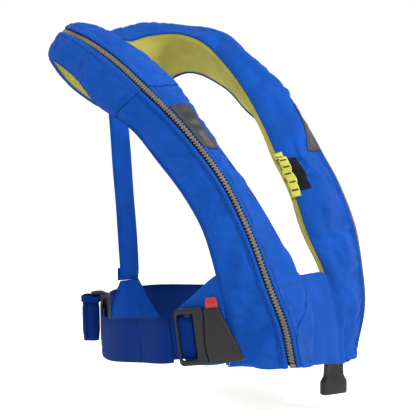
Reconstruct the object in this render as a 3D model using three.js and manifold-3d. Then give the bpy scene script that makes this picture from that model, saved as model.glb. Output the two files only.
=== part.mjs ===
// Inflatable life jacket worn over the head: a horseshoe loop with a zip along its ridge, a waist
// belt with a side buckle, and a back strap. Millimetres, +Z up, front towards -Y, +X to the
// wearer's left. The origin lies on the wearer's axis at the height of the front hem.
import * as THREE from "three";
import { mergeVertices } from "three/addons/utils/BufferGeometryUtils.js";
import Module from "manifold-3d";

const wasm = await Module();
wasm.setup();
const V = (x, y, z) => new THREE.Vector3(x, y, z);

// Overall sizes of the loop, and the sizes that its pattern points are drawn at.
const LOOP_WIDTH = 306;
const LOOP_DEPTH = 361;
const LOOP_HEIGHT = 412;
const PATTERN = { width: 306, depth: 361, height: 412 };
const LEFT_COLLAR_LIFT = 14; // the left half of the collar stands higher than the right half

// Soft shell.
const FABRIC = 1.2;
const GAP = 0.35; // clearance between pieces that touch
const FACET_GAP = 1; // clearance between crowned strips whose flat facets differ
const FUSE = 0.01; // overlap of two shapes that are joined into one solid
const NECK_BULGE = [14, 22]; // crown of the neck-side panels, at the hem and at the collar
const ARM_BULGE = [8, 11];
const COLLAR_SEAM = 7 / 24; // share of the loop from the hem to the seam between lobe and collar

// Trim on the lobes and the bridge between them.
const PATCH_THICKNESS = 0.6;
const PATCH_SHARE = 0.5; // the reflective patches cover the outer half of the neck-side panels
const LADDER = { from: 18.75 / 24, to: 20.15 / 24, width: 12, bow: 7, thickness: 2, slots: 6, edge: 0.02 };
const LADDER_BACKING = { width: 20, inset: 0.006 };
const BRIDGE = { rise: 2.06 / 24, crown: 5, front: 9, lining: 6, ahead: 2, reach: 9 };

// Zip.
const CHAIN_WIDTH = 6;
const CHAIN_THICKNESS = 2.6;
const CHAIN_RISE = 1.9; // height of the chain's face above the ridge line
const TAPE_WIDTH = 14;
const TAPE_THICKNESS = 0.8;
const TAPE_CLEARANCE = 1.4; // room for the flat facets of the crowned cover above the tape
const SLIDER_LENGTH = 12;
const SLIDER_WALL = 1.4;
const SLIDER_CLEARANCE = 0.5;
const SLIDER_LIP = 0.4; // how far the slider's side walls reach below the ridge line
const SLIDER_BRIDGE = { length: 9, width: 3, height: 3.4, window: 6, opening: 2 };
const PULL_LENGTH = 24;
const PULL_WIDTH = 8;
const PULL_THICKNESS = 1.1;
const PULL_BAR = 1.4; // the pull tab's inner bar, which turns inside the bridge
const PULL_HOLE = 3.9;
const PULL_AT = 1.8; // along the slider, from its middle to the axis of the pull tab

// Webbing.
const BELT_WIDTH = 47;
const BELT_THICKNESS = 2;
const BELT_SLACK = 0.6; // clearance on each face of the belt where it runs through something
const STRAP_WIDTH = 25;
const STRAP_THICKNESS = 1.8;
const STRAP_OVERLAP = 17;
const GUSSET_WIDTH = 54;
const GUSSET_WALL = 2;
const GUSSET_RISE = 12; // height of the gusset above the belt
const ADJUSTER_LENGTH = 20;
const ADJUSTER_WALL = 3.5;
const ADJUSTER_RAISE = 6; // the adjuster and the rolled end stand higher than the belt
const ADJUSTER_SHIFT = 2; // towards the back, from the middle of its stretch of belt
const ROLL_LENGTH = 22;
const ROLL_THICKNESS = 9;

// Side buckle. Its own X runs along the belt towards the front, and -Y faces away from the body.
const BUCKLE_POINT = [-147, -110, 39]; // on the pattern of the loop
const BUCKLE_TURN = -71; // degrees from +X, seen from above
const BUCKLE_TILT = 8; // degrees, the front end stands higher
const FRAME_LENGTH = 34;
const FRAME_THICKNESS = 6;
const FRAME_RAIL = 6;
const FRAME_REAR_BAR = 3;
const FRAME_FRONT_BAR = 13;
const PLATE_TOP = 17;
const PLATE_BOTTOM = 37;
const PLATE_THICKNESS = 8;
const TONGUE_LENGTH = 14;
const TONGUE_THICKNESS = 3;
const CATCH_CLEARANCE = 0.5; // round the tongue and round the release tab
const TAB_LENGTH = 12;
const TAB_HEIGHT = 15;
const TAB_STANDS = 8; // height of the release tab above the plate
const TAB_THICKNESS = 4;
const SPRING_LENGTH = 7;
const SPRING_WIRE = 0.35;
const SPRING_RADIUS = 1.7;
const SPRING_TURNS = 4;
const PLATE_DROP = 4; // the plate's top below the frame's
const TAB_INSET = 2.5; // between the frame and the release tab
const TONGUE = { above: 6, high: 11 }; // its foot above the frame's, and its top
const LOOP_TAIL = 8; // of the folded webbing behind the frame
const LOOP_FACE = 0.9; // the belt's front face behind the buckle's middle plane
const BELT_START = 12; // behind the folded webbing the belt runs straight for this length
const FLAP_THICKNESS = 4;
const FLAP_BACK = 38;
const FLAP_FRONT = 20;
const FLAP_HEIGHT = 64;
const FLAP_RAISE = 3;

// Inflation system.
const CYLINDER_RADIUS = 13;
const CYLINDER_LENGTH = 92;
const CYLINDER_NECK = 6;
const SOCKET_DEPTH = 6;
const CYLINDER_SHOULDER = 8;
const INFLATOR = { width: 20, depth: 16, height: 32, offset: 1.3 };
const LEVER_LENGTH = 15;
const LEVER_THICKNESS = 3.5;
const LEVER_WIDTH = 5;
const LEVER_HEIGHT = 12; // of its pin above the foot of the inflator body
const EAR = { length: 8, thickness: 2 };
const PIN_RADIUS = 1.2;
const PIN_CLEARANCE = 0.06;
const PIN_STANDS = 2.2; // between the pin and the inflator body
const FIRING_CAP = { radius: 7.5, height: 9.5, edge: 1.5 };
const LANYARD_RADIUS = 1.5;
const LANYARD_HANG = 1.2; // between the lever and the lanyard below its tip
const BLADDER_CLEARANCE = 1.2; // between the zip tapes and the folded bladder
const HANDLE_WIDTH = 35.5;
const HANDLE_NECK = 24;
const HANDLE_HEIGHT = 56;
const HANDLE_GRIP = 15.5; // height of the handle's wide foot
const HANDLE_SHOULDER = 7.5; // height over which the neck widens into the foot
const HANDLE_THICKNESS = 10;
const HANDLE_TURN = -25; // degrees about the vertical
const HANDLE_DROP = 1; // the handle's top below the hem
const HANDLE_OFFSET = [-3, 4]; // of the handle's middle from the lanyard
const THUMB_RECESS = { radius: 9, depth: 0.35 };
const ORAL_TUBE_RADIUS = 6;
const ORAL_TUBE_BORE = 4;
const ORAL_TUBE_OFFSET = 5; // towards the arm, from the middle line of the lobe
const ORAL_CAP = { wall: 1.5, skirt: 9, top: 3 };
const WHISTLE = { width: 14, depth: 8, height: 44, wall: 2, mouth: 7, stands: 11 };

const paint = (color, roughness, metalness = 0) =>
  new THREE.MeshStandardMaterial({ color, roughness, metalness });
const COVER = paint(0x1e5acd, 0.8);
const LINING = paint(0xb9b545, 0.9);
const TAPE = paint(0x173f96, 0.8);
const ZIP = paint(0x7a7068, 0.5);
const REFLECTIVE = paint(0x555457, 0.5);
const WEBBING = paint(0x0e2d6e, 0.85);
const BLACK = paint(0x2a2a2b, 0.45);
const RED = paint(0xcd3c41, 0.45);
const BLADDER = paint(0xd9d23a, 0.6);
const STEEL = paint(0xa8abb0, 0.35, 0.9);

const jacket = new THREE.Group();

function piece(name, geometry, material, parent = jacket) {
  const mesh = new THREE.Mesh(geometry, material);
  mesh.name = name;
  parent.add(mesh);
  return mesh;
}

// ---- solids and booleans ----

function toSolid(geometry) {
  const plain = geometry.clone();
  plain.deleteAttribute("normal");
  plain.deleteAttribute("uv");
  const merged = mergeVertices(plain, 1e-4);
  return new wasm.Manifold(new wasm.Mesh({
    numProp: 3,
    vertProperties: new Float32Array(merged.attributes.position.array),
    triVerts: new Uint32Array(merged.index.array),
  }));
}

function toGeometry(solid) {
  const mesh = solid.getMesh();
  const geometry = new THREE.BufferGeometry();
  geometry.setAttribute("position", new THREE.BufferAttribute(mesh.vertProperties, 3));
  geometry.setIndex(new THREE.BufferAttribute(mesh.triVerts, 1));
  return geometry;
}

function cut(geometry, ...tools) {
  let solid = toSolid(geometry);
  for (const tool of tools) solid = solid.subtract(toSolid(tool));
  return toGeometry(solid);
}

function join(...geometries) {
  let solid = toSolid(geometries[0]);
  for (const other of geometries.slice(1)) solid = solid.add(toSolid(other));
  return toGeometry(solid);
}

function box(x, y, z, at = V(0, 0, 0)) {
  return new THREE.BoxGeometry(x, y, z).translate(at.x, at.y, at.z);
}

function rod(radius, length, sides = 20) {
  return new THREE.CylinderGeometry(radius, radius, length, sides).rotateX(Math.PI / 2);
}

function plate(points, thickness) {
  const shape = new THREE.Shape(points.map(([x, z]) => new THREE.Vector2(x, z)));
  const flat = new THREE.ExtrudeGeometry(shape, { depth: thickness, bevelEnabled: false });
  return flat.rotateX(Math.PI / 2).translate(0, thickness / 2, 0);
}

function roundedOutline(width, height, radius) {
  const shape = new THREE.Shape();
  const x = width / 2 - radius;
  const z = height / 2 - radius;
  shape.absarc(x, -z, radius, -Math.PI / 2, 0);
  shape.absarc(x, z, radius, 0, Math.PI / 2);
  shape.absarc(-x, z, radius, Math.PI / 2, Math.PI);
  shape.absarc(-x, -z, radius, Math.PI, Math.PI * 1.5);
  return shape;
}

function roundedPlate(width, height, radius, thickness) {
  const shape = roundedOutline(width, height, radius);
  const options = { depth: thickness, bevelEnabled: false, curveSegments: 4 };
  return new THREE.ExtrudeGeometry(shape, options).rotateX(Math.PI / 2).translate(0, thickness / 2, 0);
}

// A closed solid between two grids of points, top[i][j] and bottom[i][j].
function thickSheet(top, bottom) {
  const rows = top.length;
  const columns = top[0].length;
  const points = [...top.flat(), ...bottom.flat()];
  const faces = [];
  const at = (layer, i, j) => layer * rows * columns + i * columns + j;
  const quad = (a, b, c, d) => faces.push(a, b, c, a, c, d);
  for (let i = 0; i + 1 < rows; i++) {
    for (let j = 0; j + 1 < columns; j++) {
      quad(at(0, i, j), at(0, i + 1, j), at(0, i + 1, j + 1), at(0, i, j + 1));
      quad(at(1, i, j), at(1, i, j + 1), at(1, i + 1, j + 1), at(1, i + 1, j));
    }
    const last = columns - 1;
    quad(at(0, i, 0), at(1, i, 0), at(1, i + 1, 0), at(0, i + 1, 0));
    quad(at(0, i, last), at(0, i + 1, last), at(1, i + 1, last), at(1, i, last));
  }
  for (let j = 0; j + 1 < columns; j++) {
    const last = rows - 1;
    quad(at(0, 0, j), at(0, 0, j + 1), at(1, 0, j + 1), at(1, 0, j));
    quad(at(0, last, j), at(1, last, j), at(1, last, j + 1), at(0, last, j + 1));
  }
  return closedGeometry(points, faces);
}

// A closed solid through rings of points, capped by fans at its two ends.
function ringLoft(rings) {
  const sides = rings[0].length;
  const points = rings.flat();
  const faces = [];
  for (let i = 0; i + 1 < rings.length; i++) {
    for (let j = 0; j < sides; j++) {
      const next = (j + 1) % sides;
      const [a, b] = [i * sides + j, i * sides + next];
      faces.push(a, b, b + sides, a, b + sides, a + sides);
    }
  }
  for (const [ring, flip] of [[0, true], [rings.length - 1, false]]) {
    const middle = rings[ring].reduce((sum, p) => sum.add(p), V(0, 0, 0)).divideScalar(sides);
    points.push(middle);
    for (let j = 0; j < sides; j++) {
      const a = ring * sides + j;
      const b = ring * sides + ((j + 1) % sides);
      faces.push(...(flip ? [points.length - 1, b, a] : [points.length - 1, a, b]));
    }
  }
  return closedGeometry(points, faces);
}

function closedGeometry(points, faces) {
  let volume = 0;
  for (let i = 0; i < faces.length; i += 3) {
    const [a, b, c] = [points[faces[i]], points[faces[i + 1]], points[faces[i + 2]]];
    volume += a.dot(b.clone().cross(c));
  }
  const index = volume > 0 ? faces : faces.slice().reverse();
  const geometry = new THREE.BufferGeometry();
  const numbers = points.flatMap((p) => [p.x, p.y, p.z]);
  geometry.setAttribute("position", new THREE.Float32BufferAttribute(numbers, 3));
  geometry.setIndex(index);
  return geometry;
}

// ---- the loop: a three-cornered section swept from the right hem round the neck to the left hem ----

// Right half of the three corner lines, from the hem to the middle of the back.
const RIDGE = [
  [-74, -170, 0], [-92, -171, 46], [-106, -161, 89], [-117, -144, 144], [-124, -118, 196],
  [-130, -90, 234], [-139, -58, 271], [-143, -20, 304], [-143, 22, 336], [-139, 70, 364],
  [-118, 130, 386], [-72, 176, 394], [0, 190, 388],
];
const NECK_EDGE = [
  [-22, -165, 3], [-22, -160, 48], [-25, -147, 92], [-30, -122, 138], [-44, -97, 186],
  [-56, -67, 230], [-64, -38, 270], [-69, -5, 308], [-74, 30, 340], [-82, 72, 372],
  [-80, 116, 394], [-50, 145, 398], [0, 155, 390],
];
const ARM_EDGE = [
  [-124, -120, 3], [-131, -122, 48], [-138, -120, 89], [-146, -107, 144], [-148, -80, 186],
  [-149, -42, 226], [-150, -12, 256], [-152, 16, 274], [-153, 46, 292], [-150, 84, 326],
  [-136, 140, 352], [-72, 160, 320], [0, 150, 294],
];
const SPANS = 2 * (RIDGE.length - 1);
const LIFT_CENTRE = 9; // pattern point where the left collar stands highest
const LIFT_SPREAD = 2.6;

function graded([x, y, z], lift = 0) {
  return V(
    (x * LOOP_WIDTH) / PATTERN.width,
    (y * LOOP_DEPTH) / PATTERN.depth,
    (z * LOOP_HEIGHT) / PATTERN.height + lift,
  );
}

function fullCurve(half) {
  const right = half.map((p) => graded(p));
  const left = half.slice(0, -1).map(([x, y, z], i) => {
    const lift = LEFT_COLLAR_LIFT * Math.exp(-(((i - LIFT_CENTRE) / LIFT_SPREAD) ** 2));
    return graded([-x, y, z], lift);
  });
  return new THREE.CatmullRomCurve3([...right, ...left.reverse()], false, "catmullrom", 0.5);
}

const ridgeCurve = fullCurve(RIDGE);
const neckCurve = fullCurve(NECK_EDGE);
const armCurve = fullCurve(ARM_EDGE);

const between = ([hem, collar], u) => {
  const share = Math.min(1, (1 - Math.abs(2 * u - 1)) / (2 * COLLAR_SEAM));
  return hem + (collar - hem) * share;
};

// The lining bows out by what the gas cylinder needs below the ridge.
const LINING_BULGE = [3.2 * CYLINDER_RADIUS - 29.6, 3];

// One section of the loop: three crowned sides, neck to ridge, ridge to arm, arm to neck.
function sectionAt(u) {
  const corners = [neckCurve.getPoint(u), ridgeCurve.getPoint(u), armCurve.getPoint(u)];
  const middle = V(0, 0, 0).add(corners[0]).add(corners[1]).add(corners[2]).divideScalar(3);
  const bulges = [between(NECK_BULGE, u), between(ARM_BULGE, u), between(LINING_BULGE, u)];
  const sides = corners.map((start, k) => {
    const end = corners[(k + 1) % 3];
    const chord = end.clone().sub(start);
    const length = chord.length();
    const along = chord.divideScalar(length);
    const out = start.clone().add(end).multiplyScalar(0.5).sub(middle);
    out.addScaledVector(along, -out.dot(along)).normalize();
    return { start, length, along, out, bulge: bulges[k] };
  });
  return { corners, middle, sides };
}

function onSide(side, t, depth) {
  const { start, length, along, out, bulge } = side;
  const rise = 4 * bulge * t * (1 - t);
  const slope = (4 * bulge * (1 - 2 * t)) / length;
  const normal = out.clone().addScaledVector(along, -slope).normalize();
  const point = start.clone().addScaledVector(along, t * length).addScaledVector(out, rise);
  return point.addScaledVector(normal, -depth);
}

// Distance to keep from corner k so that two pieces at this depth meet with the gap between them.
function mitre(section, k, depth) {
  const back = tangent(section.sides[(k + 2) % 3], 1).negate();
  const inward = section.middle.clone().sub(section.corners[k]);
  const half = (back.angleTo(inward) + tangent(section.sides[k], 0).angleTo(inward)) / 2;
  return Math.max(GAP / 2, (GAP / 2 + Math.max(0, depth) * Math.cos(half)) / Math.sin(half));
}

function tangent({ length, along, out, bulge }, t) {
  return along.clone().multiplyScalar(length).addScaledVector(out, 4 * bulge * (1 - 2 * t)).normalize();
}

// Every loop piece shares these stations. None lies at the middle of the back, so the ridge is
// straight there, where the zip slider is parked.
function stations(from, to) {
  const inside = [];
  for (let i = 0; i <= 2 * SPANS; i++) {
    const u = i / (2 * SPANS);
    const clear = 0.004;
    if (i !== SPANS && u > from + clear && u < to - clear) inside.push(u);
  }
  return [from, ...inside, to];
}

// A strip of one side of the loop: from and to along the loop, margins in mm from the side's two
// corners, between two depths below the surface (a negative depth lies outside).
function sideStrip(k, { from, to, margins = [0, 0], share = [0, 1], depths, steps = 5 }) {
  const rows = stations(from, to).map((u) => {
    const section = sectionAt(u);
    const side = section.sides[k];
    return depths.map((depth) => {
      const low = share[0] + (mitre(section, k, depth) + margins[0]) / side.length;
      const high = share[1] - (mitre(section, (k + 1) % 3, depth) + margins[1]) / side.length;
      const row = [];
      for (let j = 0; j <= steps; j++) row.push(onSide(side, low + ((high - low) * j) / steps, depth));
      return row;
    });
  });
  return thickSheet(rows.map((r) => r[0]), rows.map((r) => r[1]));
}

// The loop's whole section as one solid, grown or shrunk by a distance.
function envelope(grow, from = 0, to = 1, steps = 5) {
  const rings = stations(from, to).map((u) => {
    const section = sectionAt(u);
    return section.sides.flatMap((side, k) => {
      const low = grow < 0 ? mitre(section, k, -grow) / side.length : 0;
      const high = 1 - (grow < 0 ? mitre(section, (k + 1) % 3, -grow) / side.length : 0);
      const points = [];
      for (let j = 0; j <= steps; j++) {
        points.push(onSide(side, low + ((high - low) * j) / steps, -grow));
      }
      return points;
    });
  });
  return ringLoft(rings);
}

const HALF_SEAM = 0.00015; // half the gap between two panels, as a share of the loop
const PANELS = {
  right: [0, COLLAR_SEAM - HALF_SEAM],
  collar: [COLLAR_SEAM + HALF_SEAM, 1 - COLLAR_SEAM - HALF_SEAM],
  left: [1 - COLLAR_SEAM + HALF_SEAM, 1],
};
const ZIP_MARGIN = CHAIN_WIDTH / 2 + 1.8;

function coverPanels() {
  for (const [name, [from, to]] of Object.entries(PANELS)) {
    const depths = [0, FABRIC];
    const neck = sideStrip(0, { from, to, margins: [0, ZIP_MARGIN], depths });
    const arm = sideStrip(1, { from, to, margins: [ZIP_MARGIN, 0], depths });
    piece(`cover_neck_side_${name}`, neck, COVER);
    piece(`cover_arm_side_${name}`, arm, COVER);
    piece(`lining_${name}`, sideStrip(2, { from, to, depths }), LINING);
  }
}

// ---- zip ----

const TAPE_DEPTH = FABRIC + TAPE_CLEARANCE;
const BELOW_TAPE = TAPE_DEPTH + TAPE_THICKNESS + GAP;

function zipTapes() {
  const depths = [TAPE_DEPTH, TAPE_DEPTH + TAPE_THICKNESS];
  const rim = 0.002;
  for (const [name, k] of [["neck", 0], ["arm", 1]]) {
    const rows = stations(rim, 1 - rim).map((u) => {
      const section = sectionAt(u);
      const side = section.sides[k];
      return depths.map((depth) => {
        const edge = mitre(section, 1, depth);
        const ends = [edge, edge + TAPE_WIDTH].map((mm) => mm / side.length);
        return ends.map((t) => onSide(side, k === 0 ? 1 - t : t, depth));
      });
    });
    piece(`zip_tape_${name}_side`, thickSheet(rows.map((r) => r[0]), rows.map((r) => r[1])), TAPE);
  }
}

// Axes of the zip at one section: out of the ridge, and across it.
function ridgeFrame(u) {
  const section = sectionAt(u);
  const toNeck = tangent(section.sides[0], 1).negate();
  const toArm = tangent(section.sides[1], 0);
  const across = toArm.clone().sub(toNeck).normalize();
  const out = section.corners[1].clone().sub(section.middle);
  out.addScaledVector(across, -out.dot(across)).normalize();
  return { at: section.corners[1], out, across };
}

function chainRow({ at, out, across }, grow = 0) {
  const half = CHAIN_WIDTH / 2 + grow;
  const top = CHAIN_RISE + grow;
  const bottom = CHAIN_RISE - CHAIN_THICKNESS - grow;
  const corner = (x, z) => at.clone().addScaledVector(across, x).addScaledVector(out, z);
  return [[corner(-half, top), corner(half, top)], [corner(-half, bottom), corner(half, bottom)]];
}

const STOP_SHARE = 0.004; // length of the end stops, as a share of the loop

function zipChain() {
  const rows = stations(STOP_SHARE + 0.0004, 1 - STOP_SHARE - 0.0004).map((u) => chainRow(ridgeFrame(u)));
  piece("zip_chain", thickSheet(rows.map((r) => r[0]), rows.map((r) => r[1])), ZIP);
  for (const [name, from, to] of [["right", 0, STOP_SHARE], ["left", 1 - STOP_SHARE, 1]]) {
    const ends = [from, to].map((u) => chainRow(ridgeFrame(u), 0.15));
    piece(`zip_end_stop_${name}`, thickSheet(ends.map((r) => r[0]), ends.map((r) => r[1])), ZIP);
  }
}

// The slider rides on the straight stretch of chain behind the neck.
const PARK = { before: (SPANS - 1) / (2 * SPANS), after: (SPANS + 1) / (2 * SPANS) };

function sliderFrame() {
  const a = ridgeFrame(PARK.before);
  const b = ridgeFrame(PARK.after);
  const along = b.at.clone().sub(a.at).normalize();
  const out = a.out.clone().add(b.out).normalize();
  out.addScaledVector(along, -out.dot(along)).normalize();
  const across = out.clone().cross(along);
  const basis = new THREE.Matrix4().makeBasis(along, across, out);
  const at = a.at.clone().lerp(b.at, 0.35);
  return basis.setPosition(at);
}

function zipSlider() {
  const group = new THREE.Group();
  group.applyMatrix4(sliderFrame());
  jacket.add(group);
  const inner = CHAIN_WIDTH + 2 * SLIDER_CLEARANCE;
  const outer = inner + 2 * SLIDER_WALL;
  const floor = CHAIN_RISE + SLIDER_CLEARANCE;
  const top = box(SLIDER_LENGTH, outer, SLIDER_WALL, V(0, 0, floor + SLIDER_WALL / 2));
  const rimHeight = floor + SLIDER_LIP;
  const rims = [-1, 1].map((sign) =>
    box(SLIDER_LENGTH, SLIDER_WALL, rimHeight,
      V(0, (sign * (inner + SLIDER_WALL)) / 2, floor - rimHeight / 2 + FUSE)));
  const { length, width, height, window, opening } = SLIDER_BRIDGE;
  const bridgeTop = floor + SLIDER_WALL + height;
  const openingAt = bridgeTop - opening / 2 - SLIDER_WALL;
  const bridge = cut(
    box(length, width, height + FUSE, V(0, 0, bridgeTop - (height + FUSE) / 2)),
    box(window, 2 * width, opening, V(0, 0, openingAt)));
  piece("zip_slider", join(top, ...rims, bridge), ZIP, group);
  const half = PULL_BAR / 2;
  const strip = roundedPlate(PULL_LENGTH, PULL_WIDTH, PULL_WIDTH * 0.3, PULL_THICKNESS);
  strip.rotateX(Math.PI / 2).translate(PULL_LENGTH / 2 - half, 0, 0);
  const tab = cut(strip, box(PULL_HOLE, width + 0.8, 4 * PULL_THICKNESS, V(half + PULL_HOLE / 2, 0, 0)));
  piece("zip_pull_tab", tab, ZIP, group).position.set(PULL_AT, 0, openingAt);
}

// ---- trim on the lobes ----

function patches() {
  const patch = {
    margins: [0, ZIP_MARGIN + 1.5],
    share: [PATCH_SHARE, 1],
    depths: [-FACET_GAP - PATCH_THICKNESS, -FACET_GAP],
    steps: 3,
  };
  piece("reflective_patch_right", sideStrip(0, { ...patch, from: 5.1 / 24, to: 6.35 / 24 }), REFLECTIVE);
  piece("reflective_patch_left", sideStrip(0, { ...patch, from: 17.65 / 24, to: 18.9 / 24 }), REFLECTIVE);
}

function ladderStrip() {
  const { from, to, width, bow, thickness, slots, edge } = LADDER;
  const count = 2 * slots + 1;
  const tops = [];
  const bottoms = [];
  for (let i = 0; i <= count; i++) {
    const share = i / count;
    const section = sectionAt(from + (to - from) * share);
    const side = section.sides[0];
    const height = 2 * GAP + bow * Math.sin(Math.PI * share);
    const row = (h) => [edge, edge + width / side.length].map((t) => onSide(side, t, -h));
    tops.push(row(height + thickness));
    bottoms.push(row(height));
  }
  piece("ladder_strip", thickSheet(tops, bottoms), LINING);
  const { width: backingWidth, inset } = LADDER_BACKING;
  const backing = sideStrip(0, {
    from: from + inset,
    to: to - inset,
    margins: [FACET_GAP, 0],
    share: [0, backingWidth / sectionAt(from).sides[0].length],
    depths: [-FACET_GAP - PATCH_THICKNESS, -FACET_GAP],
    steps: 2,
  });
  piece("ladder_backing", backing, BLACK);
}

// ---- front bridge between the lobes ----

function bridgePart(name, near, far, material) {
  const levels = 5;
  const across = 6;
  const tops = [];
  const bottoms = [];
  for (let i = 0; i <= levels; i++) {
    const u = (BRIDGE.rise * i) / levels;
    const right = neckCurve.getPoint(u);
    const left = neckCurve.getPoint(1 - u);
    right.x -= BRIDGE.reach; // into the lobes, and cut back to them below
    left.x += BRIDGE.reach;
    const row = (offset) => {
      const points = [];
      for (let j = 0; j <= across; j++) {
        const t = j / across;
        const point = right.clone().lerp(left, t);
        point.y += offset - BRIDGE.crown * 4 * t * (1 - t);
        points.push(point);
      }
      return points;
    };
    tops.push(row(near));
    bottoms.push(row(far));
  }
  const body = envelope(GAP, 0, 4 / 24);
  const other = envelope(GAP, 20 / 24, 1);
  piece(name, cut(thickSheet(tops, bottoms), body, other), material);
}

function bridge() {
  bridgePart("front_bridge", -BRIDGE.ahead, BRIDGE.front, COVER);
  bridgePart("front_bridge_lining", BRIDGE.front + GAP, BRIDGE.front + GAP + BRIDGE.lining, LINING);
}

// ---- hem closures ----

function hems(tip) {
  const inset = -(BELOW_TAPE + FACET_GAP);
  const depth = 0.005;
  piece("hem_right", envelope(inset, 0.0005, depth), COVER);
  const hole = rod(LANYARD_RADIUS + 1.5, 40).translate(tip.x, tip.y, 0);
  piece("hem_left", cut(envelope(inset, 1 - depth, 1 - 0.0005), hole), COVER);
}

// ---- inflation system inside the lobes ----

// A point inside the lobe below the ridge, halfway to the lining.
function core(u, share = 0.5) {
  const section = sectionAt(u);
  const ridge = section.corners[1];
  const lining = section.sides[2];
  const t = ridge.clone().sub(lining.start).dot(lining.along) / lining.length;
  return ridge.clone().lerp(onSide(lining, t, 0), share);
}

function alignZ(group, from, to) {
  group.position.copy(from);
  const axis = to.clone().sub(from).normalize();
  group.quaternion.setFromUnitVectors(V(0, 0, 1), axis);
}

const BLADDER_END = 4 / 24;
const BLADDER_DEPTH = BELOW_TAPE + BLADDER_CLEARANCE;

function bladder() {
  piece("bladder", envelope(-BLADDER_DEPTH, BLADDER_END, 1 - BLADDER_END, 2), BLADDER);
}

const GAS_LOW = 1 - 1.2 / 24;
const GAS_HIGH = 1 - 3.4 / 24;

function lobeGroup(low, high) {
  const group = new THREE.Group();
  alignZ(group, core(low), core(high));
  jacket.add(group);
  group.updateMatrixWorld();
  return group;
}

function lathe(points, sides = 20) {
  const profile = points.map(([r, z]) => new THREE.Vector2(r, z));
  return new THREE.LatheGeometry(profile, sides).rotateX(Math.PI / 2);
}

// Everything of the inflator is placed from the foot of the gas cylinder's neck.
function inflator() {
  const group = lobeGroup(GAS_LOW, GAS_HIGH);
  const [neck, radius, length] = [SOCKET_DEPTH + 2, CYLINDER_RADIUS, CYLINDER_LENGTH];
  piece("gas_cylinder", lathe([
    [0, 0], [CYLINDER_NECK, 0], [CYLINDER_NECK, neck], [radius, neck + CYLINDER_SHOULDER],
    [radius, length - CYLINDER_SHOULDER], [radius * 0.6, length], [0, length],
  ]), STEEL, group);
  const { width, depth, height, offset } = INFLATOR;
  const bodyTop = SOCKET_DEPTH;
  const pin = V(-width / 2 - PIN_RADIUS - PIN_STANDS, 0, bodyTop - height + LEVER_HEIGHT);
  const earSide = (LEVER_WIDTH + EAR.thickness) / 2 + GAP;
  const ear = (sign) =>
    box(EAR.length, EAR.thickness, EAR.length, V(pin.x + EAR.length / 4, sign * earSide, pin.z));
  const socket = rod(CYLINDER_NECK + GAP, 2 * (SOCKET_DEPTH + GAP)).translate(0, 0, bodyTop);
  const pinHole = rod(PIN_RADIUS + PIN_CLEARANCE, 30).rotateX(Math.PI / 2).translate(pin.x, 0, pin.z);
  const shell = join(box(width, depth, height, V(0, offset, bodyTop - height / 2)), ear(-1), ear(1));
  piece("inflator_body", cut(shell, socket, pinHole), BLACK, group);
  const pinLength = LEVER_WIDTH + 2 * GAP + 2 * EAR.thickness;
  const pinRod = rod(PIN_RADIUS, pinLength, 16).rotateX(Math.PI / 2);
  piece("lever_pin", pinRod, STEEL, group).position.copy(pin);
  const arm = join(
    box(LEVER_LENGTH, LEVER_WIDTH, LEVER_THICKNESS, V(-LEVER_LENGTH / 2, 0, 0)),
    rod(PIN_RADIUS + 1.4, LEVER_WIDTH).rotateX(Math.PI / 2));
  const eye = rod(PIN_RADIUS + PIN_CLEARANCE, 20).rotateX(Math.PI / 2);
  piece("firing_lever", cut(arm, eye), RED, group).position.copy(pin);
  const { radius: capRadius, height: capHeight, edge } = FIRING_CAP;
  const cap = lathe([
    [0, 0], [capRadius, 0], [capRadius, capHeight - edge], [capRadius - edge, capHeight], [0, capHeight],
  ]);
  const capAt = V(0, 0, bodyTop - height - GAP);
  piece("firing_cap", cap.rotateX(Math.PI), BLACK, group).position.copy(capAt);
  const tipAt = V(pin.x - LEVER_LENGTH + 2 * LANYARD_RADIUS, 0, pin.z - LEVER_THICKNESS / 2 - LANYARD_HANG);
  const tip = group.localToWorld(tipAt);
  handle(tip);
  return tip;
}

// The handle hangs straight below the tip of the firing lever.
function handle(tip) {
  const top = -HANDLE_DROP;
  const length = tip.z - top - GAP;
  const cord = rod(LANYARD_RADIUS, length, 10);
  piece("lanyard", cord, RED).position.set(tip.x, tip.y, top + GAP + length / 2);
  const [w, h, neck] = [HANDLE_WIDTH / 2, HANDLE_HEIGHT, HANDLE_NECK / 2];
  const wide = HANDLE_GRIP - h;
  const narrow = wide + HANDLE_SHOULDER;
  const outline = [
    [-neck, 0], [neck, 0], [neck, narrow], [w, wide], [w, -h], [-w, -h], [-w, wide], [-neck, narrow],
  ];
  const recess = new THREE.SphereGeometry(THUMB_RECESS.radius, 16, 8);
  recess.scale(1, THUMB_RECESS.depth, 1).translate(0, -HANDLE_THICKNESS / 2, narrow);
  const grip = cut(plate(outline, HANDLE_THICKNESS), recess);
  const mesh = piece("pull_handle", grip, BLACK);
  mesh.position.set(tip.x + HANDLE_OFFSET[0], tip.y + HANDLE_OFFSET[1], top);
  mesh.rotation.z = THREE.MathUtils.degToRad(HANDLE_TURN);
}

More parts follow.
